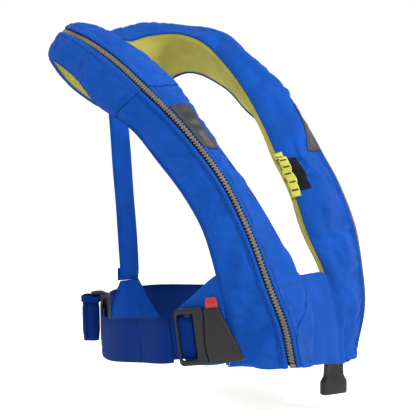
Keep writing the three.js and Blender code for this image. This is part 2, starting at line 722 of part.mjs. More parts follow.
function oralTube() {
  const group = lobeGroup(1 - GAS_LOW, 1 - GAS_HIGH);
  const [r, bore] = [ORAL_TUBE_RADIUS, ORAL_TUBE_BORE];
  const length = group.worldToLocal(core(BLADDER_END)).z + 3; // runs in, and is then trimmed
  const at = V(ORAL_TUBE_OFFSET, 0, 0);
  const tube = lathe([[bore, 0], [r, 0], [r, length], [bore, length], [bore, 0]]);
  tube.translate(at.x, at.y, at.z).applyMatrix4(group.matrixWorld);
  const room = envelope(-BLADDER_DEPTH + GAP, BLADDER_END - 0.0005, 2 * BLADDER_END);
  piece("oral_tube", cut(tube, room), BLACK);
  const inner = r + GAP;
  const outer = inner + ORAL_CAP.wall;
  const { skirt, top } = ORAL_CAP;
  const cap = lathe([[0, -top], [outer, -top], [outer, skirt], [inner, skirt], [inner, -GAP], [0, -GAP]]);
  piece("oral_tube_cap", cap, RED, group).position.copy(at);
  const { width, depth, height, wall, mouth: mouthDepth, stands } = WHISTLE;
  const mouth = box(width - 3 * wall, depth - 2 * wall, 2 * mouthDepth, V(0, 0, -height / 2));
  const window = box(width - 3 * wall, depth, 5, V(0, -depth / 2, height / 2 - 12));
  const body = cut(roundedPlate(width, height, 3, depth), mouth, window);
  piece("whistle", body, RED, group).position.set(at.x - r - GAP - width / 2, 0, height / 2 + stands);
}

// ---- waist belt ----

const toRadians = THREE.MathUtils.degToRad;

function buckleGroup() {
  const group = new THREE.Group();
  group.position.copy(graded(BUCKLE_POINT));
  group.rotation.set(0, toRadians(-BUCKLE_TILT), toRadians(BUCKLE_TURN), "ZYX");
  jacket.add(group);
  group.updateMatrixWorld();
  return group;
}

const LOOP_END = -FRAME_LENGTH - LOOP_TAIL;

function sideBuckle() {
  const group = buckleGroup();
  const window = BELT_WIDTH + 2;
  const height = window + 2 * FRAME_RAIL;
  const windowLength = FRAME_LENGTH - FRAME_REAR_BAR - FRAME_FRONT_BAR;
  const half = height / 2;
  const tongue = { low: -half + TONGUE.above, high: TONGUE.high };
  const tongueHeight = tongue.high - tongue.low;
  const tongueZ = (tongue.high + tongue.low) / 2;
  const frame = cut(
    join(
      roundedPlate(FRAME_LENGTH, height, 5, FRAME_THICKNESS).translate(-FRAME_LENGTH / 2, 0, 0),
      box(TONGUE_LENGTH + 2, TONGUE_THICKNESS, tongueHeight, V(TONGUE_LENGTH / 2 - 1, 0, tongueZ))),
    box(windowLength, 20, window, V(-FRAME_FRONT_BAR - windowLength / 2, 0, 0)),
    box(2 * FRAME_REAR_BAR + 4, 10, window, V(-FRAME_LENGTH, 5, 0)));
  piece("buckle_frame", frame, BLACK, group);

  const reach = TONGUE_LENGTH + 2 * CATCH_CLEARANCE;
  const pocket = box(2 * reach, TONGUE_THICKNESS + 2 * CATCH_CLEARANCE, tongueHeight + 2 * CATCH_CLEARANCE,
    V(0, 0, tongueZ));
  const plateTop = half - PLATE_DROP;
  const tabLow = plateTop + TAB_STANDS - TAB_HEIGHT;
  const springLow = tabLow - SPRING_LENGTH - 2 * GAP;
  const tabX = TAB_INSET + TAB_LENGTH / 2;
  const well = box(TAB_LENGTH + 2 * CATCH_CLEARANCE, TAB_THICKNESS + 2 * CATCH_CLEARANCE,
    plateTop + 5 - springLow, V(tabX, 0, (plateTop + 5 + springLow) / 2));
  const outline = [[GAP, -half], [PLATE_BOTTOM, -half + 2], [PLATE_TOP, plateTop], [GAP, plateTop]];
  piece("buckle_plate", cut(plate(outline, PLATE_THICKNESS), pocket, well), BLACK, group);

  const tab = box(TAB_LENGTH, TAB_THICKNESS, TAB_HEIGHT);
  piece("release_tab", tab, RED, group).position.set(tabX, 0, tabLow + TAB_HEIGHT / 2);
  const spring = piece("tab_spring", coil(SPRING_RADIUS, SPRING_LENGTH, SPRING_TURNS), STEEL, group);
  spring.position.set(tabX, 0, springLow + GAP + SPRING_LENGTH / 2);

  const loopStart = -FRAME_FRONT_BAR - GAP;
  const loop = box(loopStart - LOOP_END, BELT_THICKNESS, BELT_WIDTH,
    V((loopStart + LOOP_END) / 2, LOOP_FACE + BELT_THICKNESS / 2, 0));
  piece("belt_loop", loop, WEBBING, group);

  const flapFace = PLATE_THICKNESS / 2 + GAP;
  const flap = box(FLAP_FRONT + FLAP_BACK, FLAP_THICKNESS, FLAP_HEIGHT,
    V((FLAP_FRONT - FLAP_BACK) / 2, flapFace + FLAP_THICKNESS / 2, FLAP_RAISE));
  flap.applyMatrix4(group.matrixWorld);
  piece("pocket_flap", cut(flap, envelope(GAP, 0, 4 / 24)), COVER);
  return group;
}

function coil(radius, length, turns) {
  const steps = 12 * turns;
  const points = [];
  const rise = length - 2 * SPRING_WIRE;
  for (let i = 0; i <= steps; i++) {
    const angle = (i / 12) * 2 * Math.PI;
    const z = -rise / 2 + (rise * i) / steps;
    points.push(V(radius * Math.cos(angle), radius * Math.sin(angle), z));
  }
  const path = new THREE.CatmullRomCurve3(points);
  const wire = new THREE.Shape();
  wire.absarc(0, 0, SPRING_WIRE, 0, 2 * Math.PI);
  return new THREE.ExtrudeGeometry(wire, { steps, curveSegments: 3, bevelEnabled: false, extrudePath: path });
}

// The belt's middle line behind the buckle, by the height of its middle. The stretches named
// below are straight, for the adjuster and for the gusset.
const BELT_POINTS = [
  [-151, -20, 26], [-144, 16, 21], [-131, 48, 17], [-112, 76, 18], [-64, 112, 26], [-32, 132, 32],
  [32, 132, 32], [66, 122, 31], [104, 96, 29], [132, 56, 29], [145, 4, 31], [145, -56, 35], [138, -112, 40],
];
const ADJUSTER_SPAN = 5; // stretches are counted from the buckle, whose end is stretch 0
const GUSSET_SPAN = 7;
const NEAR_SPANS = 2; // the first stretches belong to the piece of belt next to the buckle
const BELT_JOIN = ADJUSTER_SPAN; // the two long pieces of belt meet inside the adjuster
const BELT_STEPS = 4;

function beltLine(group) {
  const end = (x) => group.localToWorld(V(x, LOOP_FACE + BELT_THICKNESS / 2, 0));
  const ends = [end(LOOP_END + BELT_WIDTH / 8), end(LOOP_END - BELT_START)];
  const points = [...ends, ...BELT_POINTS.map((p) => graded(p))];
  return new THREE.CatmullRomCurve3(points, false, "catmullrom", 0.5);
}

// The space of the webbing folded round the frame, with the gap that the belt keeps to it.
function loopRoom(group) {
  const length = FRAME_LENGTH;
  const middle = V(LOOP_END - GAP + length / 2, LOOP_FACE, 0);
  const room = box(length, 4 * BELT_THICKNESS, 1.5 * BELT_WIDTH, middle);
  return room.applyMatrix4(group.matrixWorld);
}

function beltSamples(curve, from, to) {
  const spans = curve.points.length - 1;
  const samples = [];
  for (let i = from; i < to; i++) {
    const steps = i === ADJUSTER_SPAN || i === GUSSET_SPAN ? 1 : BELT_STEPS;
    for (let k = 0; k < steps; k++) samples.push((i + k / steps) / spans);
  }
  samples.push(to / spans);
  return samples.map((t) => curve.getPoint(t));
}

// A ribbon on edge along a line of points, its ends drawn in by half the gap.
function ribbon(line, width, thickness, drawIn = GAP / 2) {
  const points = line.map((p) => p.clone());
  const last = points.length - 1;
  const shift = (i, j) => points[i].addScaledVector(line[j].clone().sub(line[i]).normalize(), drawIn);
  shift(0, 1);
  shift(last, last - 1);
  const tops = [];
  const bottoms = [];
  points.forEach((p, i) => {
    const before = line[Math.max(0, i - 1)];
    const after = line[Math.min(last, i + 1)];
    const along = after.clone().sub(before).setZ(0).normalize();
    const out = V(-along.y, along.x, 0).multiplyScalar(thickness / 2);
    const rise = V(0, 0, width / 2);
    const row = (sign) =>
      [-1, 1].map((end) => p.clone().addScaledVector(out, sign).addScaledVector(rise, end));
    tops.push(row(1));
    bottoms.push(row(-1));
  });
  return thickSheet(tops, bottoms);
}

function stretchGroup(curve, span) {
  const spans = curve.points.length - 1;
  const a = curve.getPoint(span / spans);
  const b = curve.getPoint((span + 1) / spans);
  const group = new THREE.Group();
  const along = b.clone().sub(a);
  group.position.copy(a.clone().add(b).multiplyScalar(0.5));
  group.rotation.z = Math.atan2(along.y, along.x);
  const slope = Math.atan2(along.z, Math.hypot(along.x, along.y));
  group.rotation.set(0, -slope, group.rotation.z, "ZYX");
  jacket.add(group);
  group.updateMatrixWorld();
  return group;
}

function waistBelt(buckle) {
  const curve = beltLine(buckle);
  const last = curve.points.length - 1;
  const near = ribbon(beltSamples(curve, 0, NEAR_SPANS), BELT_WIDTH, BELT_THICKNESS);
  piece("belt_near", cut(near, loopRoom(buckle)), WEBBING);
  piece("belt_right", ribbon(beltSamples(curve, NEAR_SPANS, BELT_JOIN), BELT_WIDTH, BELT_THICKNESS), WEBBING);
  const back = ribbon(beltSamples(curve, BELT_JOIN, last), BELT_WIDTH, BELT_THICKNESS);
  piece("belt_back", cut(back, envelope(GAP, 20 / 24, 1)), WEBBING);
  adjuster(stretchGroup(curve, ADJUSTER_SPAN));
  gusset(stretchGroup(curve, GUSSET_SPAN));
}

function adjuster(group) {
  const slot = BELT_THICKNESS + 2 * BELT_SLACK;
  const window = BELT_WIDTH + 2 * (BELT_SLACK + ADJUSTER_RAISE);
  const depth = slot + 2 * ADJUSTER_WALL;
  const frame = cut(
    roundedPlate(ADJUSTER_LENGTH, window + 2 * ADJUSTER_WALL, 4, depth),
    box(2 * ADJUSTER_LENGTH, slot, window));
  const carrier = new THREE.Group();
  carrier.position.set(ADJUSTER_SHIFT, 0, ADJUSTER_RAISE);
  group.add(carrier);
  piece("belt_adjuster", frame, BLACK, carrier);
  const roll = roundedPlate(ROLL_LENGTH, ROLL_THICKNESS, ROLL_THICKNESS / 2 - 0.1, BELT_WIDTH);
  roll.rotateX(Math.PI / 2).rotateZ(Math.PI / 2);
  piece("belt_roll", roll, WEBBING, carrier).position.set(0, depth / 2 + GAP + ROLL_LENGTH / 2, 0);
}

function gusset(group) {
  const slot = BELT_THICKNESS + 2 * BELT_SLACK;
  const low = -(BELT_WIDTH / 2 + BELT_SLACK + GUSSET_WALL);
  const high = BELT_WIDTH / 2 + BELT_SLACK + GUSSET_RISE;
  const [top, bottom] = [STRAP_WIDTH / 2, GUSSET_WIDTH / 2];
  const thickness = slot + 2 * GUSSET_WALL;
  const sleeve = cut(
    plate([[-bottom, low], [bottom, low], [top, high], [-top, high]], thickness),
    box(2 * GUSSET_WIDTH, slot, BELT_WIDTH + 2 * BELT_SLACK));
  piece("strap_gusset", sleeve, WEBBING, group);
  backStrap(group.localToWorld(V(0, thickness / 2 - STRAP_THICKNESS / 2, high)));
}

// The strap runs from the gusset up to the lower edge of the collar.
function backStrap(foot) {
  const top = armCurve.getPoint(0.5);
  const flat = (z, y, grow) => [-1, 1].map((side) => V((side * STRAP_WIDTH) / 2, y + grow, z));
  const levels = [foot.z + GAP, foot.z + 2 * STRAP_OVERLAP, top.z - 30, top.z + 6];
  const reach = [foot.y, foot.y + 1, top.y - 4, top.y];
  const face = (grow) => levels.map((z, i) => flat(z, reach[i], grow));
  const half = STRAP_THICKNESS / 2;
  const strap = thickSheet(face(half), face(-half));
  piece("back_strap", cut(strap, envelope(GAP, 9 / 24, 15 / 24)), WEBBING);
  const offset = STRAP_THICKNESS + GAP + 1;
  const patchAt = V(0, foot.y + offset, foot.z + GAP + STRAP_OVERLAP / 2);
  const patch = box(STRAP_WIDTH, STRAP_THICKNESS, STRAP_OVERLAP, patchAt);
  piece("strap_overlap", patch, WEBBING);
}

function build() {
  coverPanels();
  zipTapes();
  zipChain();
  zipSlider();
  patches();
  ladderStrip();
  bridge();
  hems(inflator());
  bladder();
  oralTube();
  waistBelt(sideBuckle());
}

build();
export default jacket;
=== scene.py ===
import math

import bpy
import numpy as np
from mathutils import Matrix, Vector, noise


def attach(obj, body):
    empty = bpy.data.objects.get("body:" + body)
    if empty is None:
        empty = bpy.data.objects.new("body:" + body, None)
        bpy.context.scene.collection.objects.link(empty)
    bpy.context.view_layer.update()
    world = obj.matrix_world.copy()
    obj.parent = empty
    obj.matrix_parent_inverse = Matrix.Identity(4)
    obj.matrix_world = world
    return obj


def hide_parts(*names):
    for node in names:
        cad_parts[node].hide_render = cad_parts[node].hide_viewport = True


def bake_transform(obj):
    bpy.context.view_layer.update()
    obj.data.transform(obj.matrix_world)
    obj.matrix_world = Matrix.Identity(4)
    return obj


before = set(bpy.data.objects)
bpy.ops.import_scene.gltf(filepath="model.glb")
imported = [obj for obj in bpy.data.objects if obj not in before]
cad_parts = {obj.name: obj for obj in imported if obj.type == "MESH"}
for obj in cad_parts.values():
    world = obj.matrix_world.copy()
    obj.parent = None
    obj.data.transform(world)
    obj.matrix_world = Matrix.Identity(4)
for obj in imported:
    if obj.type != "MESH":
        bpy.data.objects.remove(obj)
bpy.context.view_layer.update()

MM = 0.001
V = lambda *p: np.array(p, float)

# ---------------------------------------------------------------- pattern of the loop, in mm
RIDGE = [
    (-74, -170, 0), (-92, -171, 46), (-106, -161, 89), (-117, -144, 144), (-124, -118, 196),
    (-130, -90, 234), (-139, -58, 271), (-143, -20, 304), (-143, 22, 336), (-139, 70, 364),
    (-118, 130, 386), (-72, 176, 394), (0, 190, 388)]
NECK_EDGE = [
    (-22, -165, 3), (-22, -160, 48), (-25, -147, 92), (-30, -122, 138), (-44, -97, 186),
    (-56, -67, 230), (-64, -38, 270), (-69, -5, 308), (-74, 30, 340), (-82, 72, 372),
    (-80, 116, 394), (-50, 145, 398), (0, 155, 390)]
ARM_EDGE = [
    (-124, -120, 3), (-131, -122, 48), (-138, -120, 89), (-146, -107, 144), (-148, -80, 186),
    (-149, -42, 226), (-150, -12, 256), (-152, 16, 274), (-153, 46, 292), (-150, 84, 326),
    (-136, 140, 352), (-72, 160, 320), (0, 150, 294)]
LEFT_LIFT, LIFT_CENTRE, LIFT_SPREAD = 14, 9, 2.6
RIDGE_RISE = 6.0  # how far the padding lifts the left ridge at the collar
NECK_ROLL = 8.0  # how far the left lobe's lining rolls in past its pattern, over its neck edge
BULGE = ((14, 22), (8, 11), (12, 3))  # crown of each side at the hem and at the collar
FULLER = ((-8, 8), (0, 5), (0, 0))  # what the padding adds to each at the collar, right and left
SPANS = 24  # between the pattern's stations, right hem to left hem
SEAM = 7 / SPANS
CLOTH = 1.2
ZIP_EDGE = 4.8  # from the ridge line to the edge of the cover
CHAIN_TOP = 1.9


def spline(points):
    """Catmull-Rom curve through points, as a function of the share of its spans."""
    p = np.array(points, float)
    p = np.vstack([2 * p[0] - p[1], p, 2 * p[-1] - p[-2]])
    spans = len(points) - 1

    def at(u):
        x = np.clip(np.atleast_1d(np.asarray(u, float)), 0, 1) * spans
        i = np.minimum(x.astype(int), spans - 1)
        w = (x - i)[:, None]
        a, b, c, d = p[i], p[i + 1], p[i + 2], p[i + 3]
        t0, t1 = (c - a) / 2, (d - b) / 2
        return b + w * (t0 + w * (3 * (c - b) - 2 * t0 - t1 + w * (2 * (b - c) + t0 + t1)))

    return at


def whole_curve(half):
    left = []
    for i, (x, y, z) in enumerate(half[:-1]):
        lift = LEFT_LIFT * math.exp(-(((i - LIFT_CENTRE) / LIFT_SPREAD) ** 2))
        roll = NECK_ROLL * math.exp(-(((i - 5) / 2.2) ** 2)) if half is NECK_EDGE else 0.0
        rise = RIDGE_RISE * math.exp(-(((i - 8) / 3) ** 2)) if half is RIDGE else 0.0
        left.append((-x - 0.9 * roll + 0.5 * rise, y + 0.4 * roll, z + lift + rise))
    at = spline(half + left[::-1])
    low, high = (SPANS - 1) / (2 * SPANS), (SPANS + 1) / (2 * SPANS)

    def straightened(u):
        """The curve, straight across the middle of the back, where the zip slider is parked."""
        u = np.atleast_1d(np.asarray(u, float))
        out = at(u)
        middle = (u > low) & (u < high)
        a, b = at(low)[0], at(high)[0]
        out[middle] = a + (b - a) * ((u[middle] - low) / (high - low))[:, None]
        return out

    return straightened


CURVES = [whole_curve(c) for c in (NECK_EDGE, RIDGE, ARM_EDGE)]


def unit(v):
    v = np.asarray(v, float)
    return v / np.maximum(np.linalg.norm(v, axis=-1, keepdims=True), 1e-12)


def eased(x):
    """A share from 0 to 1 that starts and ends gently."""
    return x * x * (3 - 2 * x)


def dot(a, b):
    return np.sum(a * b, axis=-1, keepdims=True)


def sections(u):
    """Corners, middles and the three crowned sides of the loop's section at each station."""
    u = np.atleast_1d(np.asarray(u, float))
    corners = [c(u) for c in CURVES]
    middle = sum(corners) / 3
    share = np.minimum(1, (1 - np.abs(2 * u - 1)) / (2 * SEAM))
    sides = []
    for k in range(3):
        start, end = corners[k], corners[(k + 1) % 3]
        length = np.linalg.norm(end - start, axis=1)
        along = unit(end - start)
        out = (start + end) / 2 - middle
        out = unit(out - along * dot(out, along))
        hem, collar = BULGE[k]
        turn = np.clip((u - 0.46) / 0.1, 0, 1)
        right, left = FULLER[k]
        collar = collar + right + (left - right) * eased(turn)
        sides.append(dict(start=start, length=length, along=along, out=out,
                          bulge=hem + (collar - hem) * share))
    return corners, middle, sides


def on_side(side, t, height=0.0):
    """Points at share t of the side's chord, and height above its surface."""
    t = np.asarray(t, float)
    rise = 4 * side["bulge"] * t * (1 - t)
    slope = 4 * side["bulge"] * (1 - 2 * t) / side["length"]
    normal = unit(side["out"] - side["along"] * slope[:, None])
    base = side["start"] + side["along"] * (t * side["length"])[:, None]
    return base + side["out"] * rise[:, None] + normal * height, normal


def ridge_frame(u):
    """Ridge line, its outward direction, the direction across it and the one along it."""
    corners, middle, sides = sections(u)

    def tangent(side, t):
        return unit(side["along"] * side["length"][:, None]
                    + side["out"] * (4 * side["bulge"] * (1 - 2 * t))[:, None])

    across = unit(tangent(sides[1], 0.0) + tangent(sides[0], 1.0))
    out = corners[1] - middle
    out = unit(out - across * dot(out, across))
    return corners[1], out, across, np.cross(out, across)


# ---------------------------------------------------------------- mesh helpers
def finish_mesh(name, points, faces, material, body="root", replaces=(), uv=None,
                smooth=True, subdivide=0, bevel=0.0):
    """A mesh object from points in mm, riding on a CAD body."""
    mesh = bpy.data.meshes.new(name)
    mesh.from_pydata((np.asarray(points, float) * MM).tolist(), [], [list(f) for f in faces])
    mesh.validate()
    if uv is not None:
        layer = mesh.uv_layers.new(name="cloth")
        corner = np.zeros(len(mesh.loops), int)
        mesh.loops.foreach_get("vertex_index", corner)
        layer.data.foreach_set("uv", (np.asarray(uv, float)[corner] * MM).ravel())
    mesh.shade_smooth() if smooth else mesh.shade_flat()
    mesh.materials.append(material)
    obj = bpy.data.objects.new(name, mesh)
    bpy.context.scene.collection.objects.link(obj)
    if bevel:
        rounding(obj, bevel)
    if subdivide:
        add_subdivision(obj, subdivide)
    if body:
        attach(obj, body)
    if replaces:
        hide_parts(*replaces)
    return obj


def add_subdivision(obj, levels):
    modifier = obj.modifiers.new("smooth", "SUBSURF")
    modifier.levels = modifier.render_levels = levels


def rounding(obj, width, segments=2):
    modifier = obj.modifiers.new("edges", "BEVEL")
    modifier.width = width * MM
    modifier.segments = segments
    modifier.limit_method = "ANGLE"
    modifier.angle_limit = math.radians(35)


def thicken(obj, thickness, offset=-1):
    modifier = obj.modifiers.new("thickness", "SOLIDIFY")
    modifier.thickness = thickness * MM
    modifier.offset = offset


def grid_faces(rows, columns, wrap_rows=False, wrap_columns=False, first=0, flip=False):
    faces = []
    for i in range(rows if wrap_rows else rows - 1):
        for j in range(columns if wrap_columns else columns - 1):
            a = i * columns + j
            b = i * columns + (j + 1) % columns
            c = ((i + 1) % rows) * columns + (j + 1) % columns
            d = ((i + 1) % rows) * columns + j
            quad = (a, b, c, d)
            faces.append(tuple(first + k for k in (quad[::-1] if flip else quad)))
    return faces


def loft(rings, closed_path=False, caps=True):
    """Points and faces of a tube through rings of equal length."""
    rings = [np.asarray(r, float) for r in rings]
    count, sides = len(rings), len(rings[0])
    points = np.vstack(rings)
    faces = grid_faces(count, sides, wrap_rows=closed_path, wrap_columns=True)
    if caps and not closed_path:
        faces.append(tuple(range(sides))[::-1])
        faces.append(tuple(range((count - 1) * sides, count * sides)))
    return points, faces


def arc_lengths(points):
    steps = np.linalg.norm(np.diff(points, axis=0), axis=1)
    return np.concatenate([[0], np.cumsum(steps)])


def resample(points, pitch=None, count=None):
    """Points at even steps along a line."""
    s = arc_lengths(points)
    count = count or max(2, int(round(s[-1] / pitch)) + 1)
    at = np.linspace(0, s[-1], count)
    return np.stack([np.interp(at, s, points[:, k]) for k in range(points.shape[1])], 1)


def even_outline(outline, count):
    """A closed outline at even steps."""
    return resample(np.vstack([outline, outline[:1]]), count=count + 1)[:-1]


def tangents(points):
    return unit(np.gradient(np.asarray(points, float), axis=0))


def rounded_rectangle(width, height, radius, corner=5, side=3):
    """Closed outline, counterclockwise from the lower right, as an array of (x, z)."""
    points = []
    centres = [(1, -1, -90), (1, 1, 0), (-1, 1, 90), (-1, -1, 180)]
    for sx, sz, start in centres:
        cx, cz = sx * (width / 2 - radius), sz * (height / 2 - radius)
        for k in range(corner + 1):
            angle = math.radians(start + 90 * k / corner)
            points.append((cx + radius * math.cos(angle), cz + radius * math.sin(angle)))
    out = []
    for k, p in enumerate(points):
        out.append(p)
        if k % (corner + 1) == corner:
            q = points[(k + 1) % len(points)]
            for j in range(1, side + 1):
                t = j / (side + 1)
                out.append((p[0] + (q[0] - p[0]) * t, p[1] + (q[1] - p[1]) * t))
    return np.array(out)


def ribbon_mesh(line, across, width, thickness, sag=None, tuck=None):
    """A woven strap: rounded flat section swept along a line, with uv in mm."""
    line = np.asarray(line, float)
    along = tangents(line)
    across = np.asarray(across, float) * np.ones_like(line)
    normal = unit(np.cross(along, across))
    across = unit(np.cross(normal, along))
    half, edge = width / 2, thickness / 2
    profile = [(-half + edge * 0.3, -edge), (-half * 0.5, -edge), (0, -edge), (half * 0.5, -edge),
               (half - edge * 0.3, -edge), (half, 0), (half - edge * 0.3, edge), (half * 0.5, edge),
               (0, edge), (-half * 0.5, edge), (-half + edge * 0.3, edge), (-half, 0)]
    length = arc_lengths(line)
    rings, uv = [], []
    for i, p in enumerate(line):
        ring = []
        for a, n in profile:
            lift = sag(length[i] / length[-1], a / half) if sag else 0.0
            place_a = a * (1 - tuck[i]) if tuck is not None and a < 0 else a
            ring.append(p + across[i] * place_a + normal[i] * (n + lift))
            uv.append((length[i], a + half))
        rings.append(ring)
    points, faces = loft(rings)
    return points, faces, np.array(uv)


def tube_mesh(line, radius, sides=10, squash=1.0, up=None):
    line = np.asarray(line, float)
    along = tangents(line)
    reference = np.asarray(up if up is not None else V(0.13, 0.21, 0.97), float) * np.ones_like(line)
    side = unit(np.cross(along, reference))
    other = np.cross(along, side)
    radii = np.asarray(radius, float) * np.ones(len(line))
    angles = np.linspace(0, 2 * math.pi, sides, endpoint=False)
    rings, uv = [], []
    length = arc_lengths(line)
    for i, p in enumerate(line):
        rings.append([p + radii[i] * (side[i] * math.cos(a) + other[i] * math.sin(a) * squash)
                      for a in angles])
        uv += [(length[i], radii[i] * a) for a in angles]
    points, faces = loft(rings)
    return points, faces, np.array(uv)


def merge(parts):
    points, faces, uvs, first = [], [], [], 0
    for part in parts:
        points.append(np.asarray(part[0], float))
        faces += [tuple(first + k for k in f) for f in part[1]]
        if len(part) > 2:
            uvs.append(part[2])
        first += len(part[0])
    return np.vstack(points), faces, (np.vstack(uvs) if uvs else None)


def place(points, frame_of):
    """Points in a local frame (origin, x, y, z axes) to the row frame."""
    origin, x, y, z = frame_of
    points = np.asarray(points, float)
    return origin + points[:, :1] * x + points[:, 1:2] * y + points[:, 2:3] * z


def slab(outline, low, high, edge=0.8, steps=3, crown=0.0):
    """A plate of an (x, z) outline between two depths along y, with rounded edges."""
    outline = np.asarray(outline, float)
    forward, back = np.roll(outline, -1, 0) - outline, outline - np.roll(outline, 1, 0)
    inward = unit(unit(forward) + unit(back))
    inward = np.stack([-inward[:, 1], inward[:, 0]], 1)
    levels = [(low + edge * (1 - math.sin(math.pi / 2 * k / steps)),
               edge * (1 - math.cos(math.pi / 2 * k / steps))) for k in range(steps, -1, -1)]
    levels += [(low + high - y, inset) for y, inset in reversed(levels)]
    rings = []
    for y, inset in levels:
        flat = outline + inward * inset
        rings.append(np.stack([flat[:, 0], np.full(len(flat), y), flat[:, 1]], 1))
    points, faces = loft(rings, caps=False)
    sides = len(outline)
    for ring, y, flip in ((rings[0], low - crown, False), (rings[-1], high + crown, True)):
        first = 0 if ring is rings[0] else (len(rings) - 1) * sides
        centre = ring.mean(0)
        inner = centre + (ring - centre) * 0.55
        inner[:, 1] = y
        base = len(points)
        points = np.vstack([points, inner, [[centre[0], y, centre[2]]]])
        for j in range(sides):
            n = (j + 1) % sides
            quad = (first + j, base + j, base + n, first + n)
            tri = (base + j, base + sides, base + n)
            faces.append(quad if not flip else quad[::-1])
            faces.append(tri if not flip else tri[::-1])
    return points, faces


def hollow_frame(outer, inner, low, high, edge=1.0):
    """A ring-shaped plate between two outlines of equal count, rounded in section."""
    count = len(outer)
    low, high = low * np.ones(count), high * np.ones(count)
    rings = []
    for i in range(count):
        o = np.array([outer[i][0], 0, outer[i][1]])
        n = np.array([inner[i][0], 0, inner[i][1]])
        direction = unit(n - o)
        span = np.linalg.norm(n - o)
        e = min(edge, span * 0.35, (high[i] - low[i]) * 0.35)
        ring = []
        for along, y in ((e, low[i]), (e * 0.3, low[i] + e * 0.3), (0, low[i] + e), (0, high[i] - e),
                         (e * 0.3, high[i] - e * 0.3), (e, high[i]), (span - e, high[i]),
                         (span - e * 0.3, high[i] - e * 0.3), (span, high[i] - e), (span, low[i] + e),
                         (span - e * 0.3, low[i] + e * 0.3), (span - e, low[i])):
            ring.append(o + direction * along + V(0, y, 0))
        rings.append(ring)
    return loft(rings, closed_path=True)


def thread(line, normals, pitch=3.4, length=2.4, radius=0.33):
    """Sewn stitches, one small spindle each, along a line on a surface."""
    line, normals = np.asarray(line, float), np.asarray(normals, float)
    s = arc_lengths(line)
    starts = np.arange(pitch * 0.5, s[-1] - length, pitch)
    at = lambda x, array: np.stack([np.interp(x, s, array[:, k]) for k in range(3)], 1)
    a, b = at(starts, line), at(starts + length, line)
    up = unit(at(starts + length / 2, normals))
    along = unit(b - a)
    side = np.cross(along, up)
    points, faces = [], []
    for k in range(len(starts)):
        first = len(points)
        for share, r in ((0, 0.35), (0.2, 1), (0.8, 1), (1, 0.35)):
            centre = a[k] + (b[k] - a[k]) * share + up[k] * radius * 0.4 * r
            for x, z in ((1, 0), (0.4, 0.9), (-0.4, 0.9), (-1, 0), (0, -0.7)):
                points.append(centre + side[k] * x * r * radius + up[k] * z * r * radius)
        faces += [tuple(first + q for q in f) for f in loft([points[first + 5 * q:first + 5 * q + 5]
                                                              for q in range(4)])[1]]
    return np.array(points), faces


# ---------------------------------------------------------------- materials
class Shader:
    """A node material: inputs are sockets or plain values."""

    def __init__(self, name):
        self.material = bpy.data.materials.new(name)
        self.material.use_nodes = True
        self.tree = self.material.node_tree
        self.surface = self.tree.nodes["Principled BSDF"]

    def set(self, socket, value):
        if isinstance(value, bpy.types.NodeSocket):
            self.tree.links.new(value, socket)
        elif socket.type == "RGBA" and len(value) == 3:
            socket.default_value = (*value, 1)
        else:
            socket.default_value = value

    def node(self, kind, inputs=None, **settings):
        node = self.tree.nodes.new(kind)
        for key, value in settings.items():
            setattr(node, key, value)
        for key, value in (inputs or {}).items():
            self.set(node.inputs[key], value)
        return node

    def math(self, operation, a, b=0.0, c=0.5):
        return self.node("ShaderNodeMath", {0: a, 1: b, 2: c}, operation=operation).outputs[0]

    def coords(self, kind="UV", scale=(1, 1, 1)):
        source = self.node("ShaderNodeTexCoord").outputs[kind]
        node = self.node("ShaderNodeMapping", {"Vector": source, "Scale": scale})
        return node.outputs[0]

    def split(self, vector):
        return self.node("ShaderNodeSeparateXYZ", {0: vector}).outputs

    def noise(self, vector, scale, detail=3.0, roughness=0.55):
        inputs = {"Vector": vector, "Scale": scale, "Detail": detail, "Roughness": roughness}
        return self.node("ShaderNodeTexNoise", inputs).outputs["Fac"]

    def sine(self, value, pitch, phase=0.0):
        """A wave of the value, from 0 to 1, that repeats every pitch metres."""
        wave = self.math("SINE", self.math("MULTIPLY_ADD", value, 2 * math.pi / pitch, phase))
        return self.math("MULTIPLY_ADD", wave, 0.5, 0.5)

    def ramp(self, value, low, high, to_low=0.0, to_high=1.0):
        inputs = {"Value": value, "From Min": low, "From Max": high, "To Min": to_low, "To Max": to_high}
        return self.node("ShaderNodeMapRange", inputs).outputs[0]

    def mix(self, factor, a, b):
        node = self.node("ShaderNodeMix", data_type="RGBA")
        self.set(node.inputs[0], factor)
        self.set(node.inputs[6], a)
        self.set(node.inputs[7], b)
        return node.outputs[2]

    def mottle(self, field, color, dark, light, low=0.3, high=0.7):
        """The colour, darker and lighter in patches."""
        return self.mix(self.ramp(field, low, high), shade(color, dark), shade(color, light))

    def tint(self, tone, mask, share, color, factor):
        """The tone, drawn towards a shade of the colour where the mask is high."""
        return self.mix(self.math("MULTIPLY", mask, share), tone, shade(color, factor))

    def bump(self, height, distance, strength=1.0, normal=None):
        inputs = {"Height": height, "Distance": distance, "Strength": strength}
        if normal is not None:
            inputs["Normal"] = normal
        return self.node("ShaderNodeBump", inputs).outputs[0]

    def done(self, color, roughness, normal=None, **constants):
        self.set(self.surface.inputs["Base Color"], color)
        self.set(self.surface.inputs["Roughness"], roughness)
        if normal is not None:
            self.set(self.surface.inputs["Normal"], normal)
        for key, value in constants.items():
            self.set(self.surface.inputs[key.replace("_", " ")], value)
        return self.material


def shade(color, factor):
    return tuple(min(1.0, c * factor) for c in color)


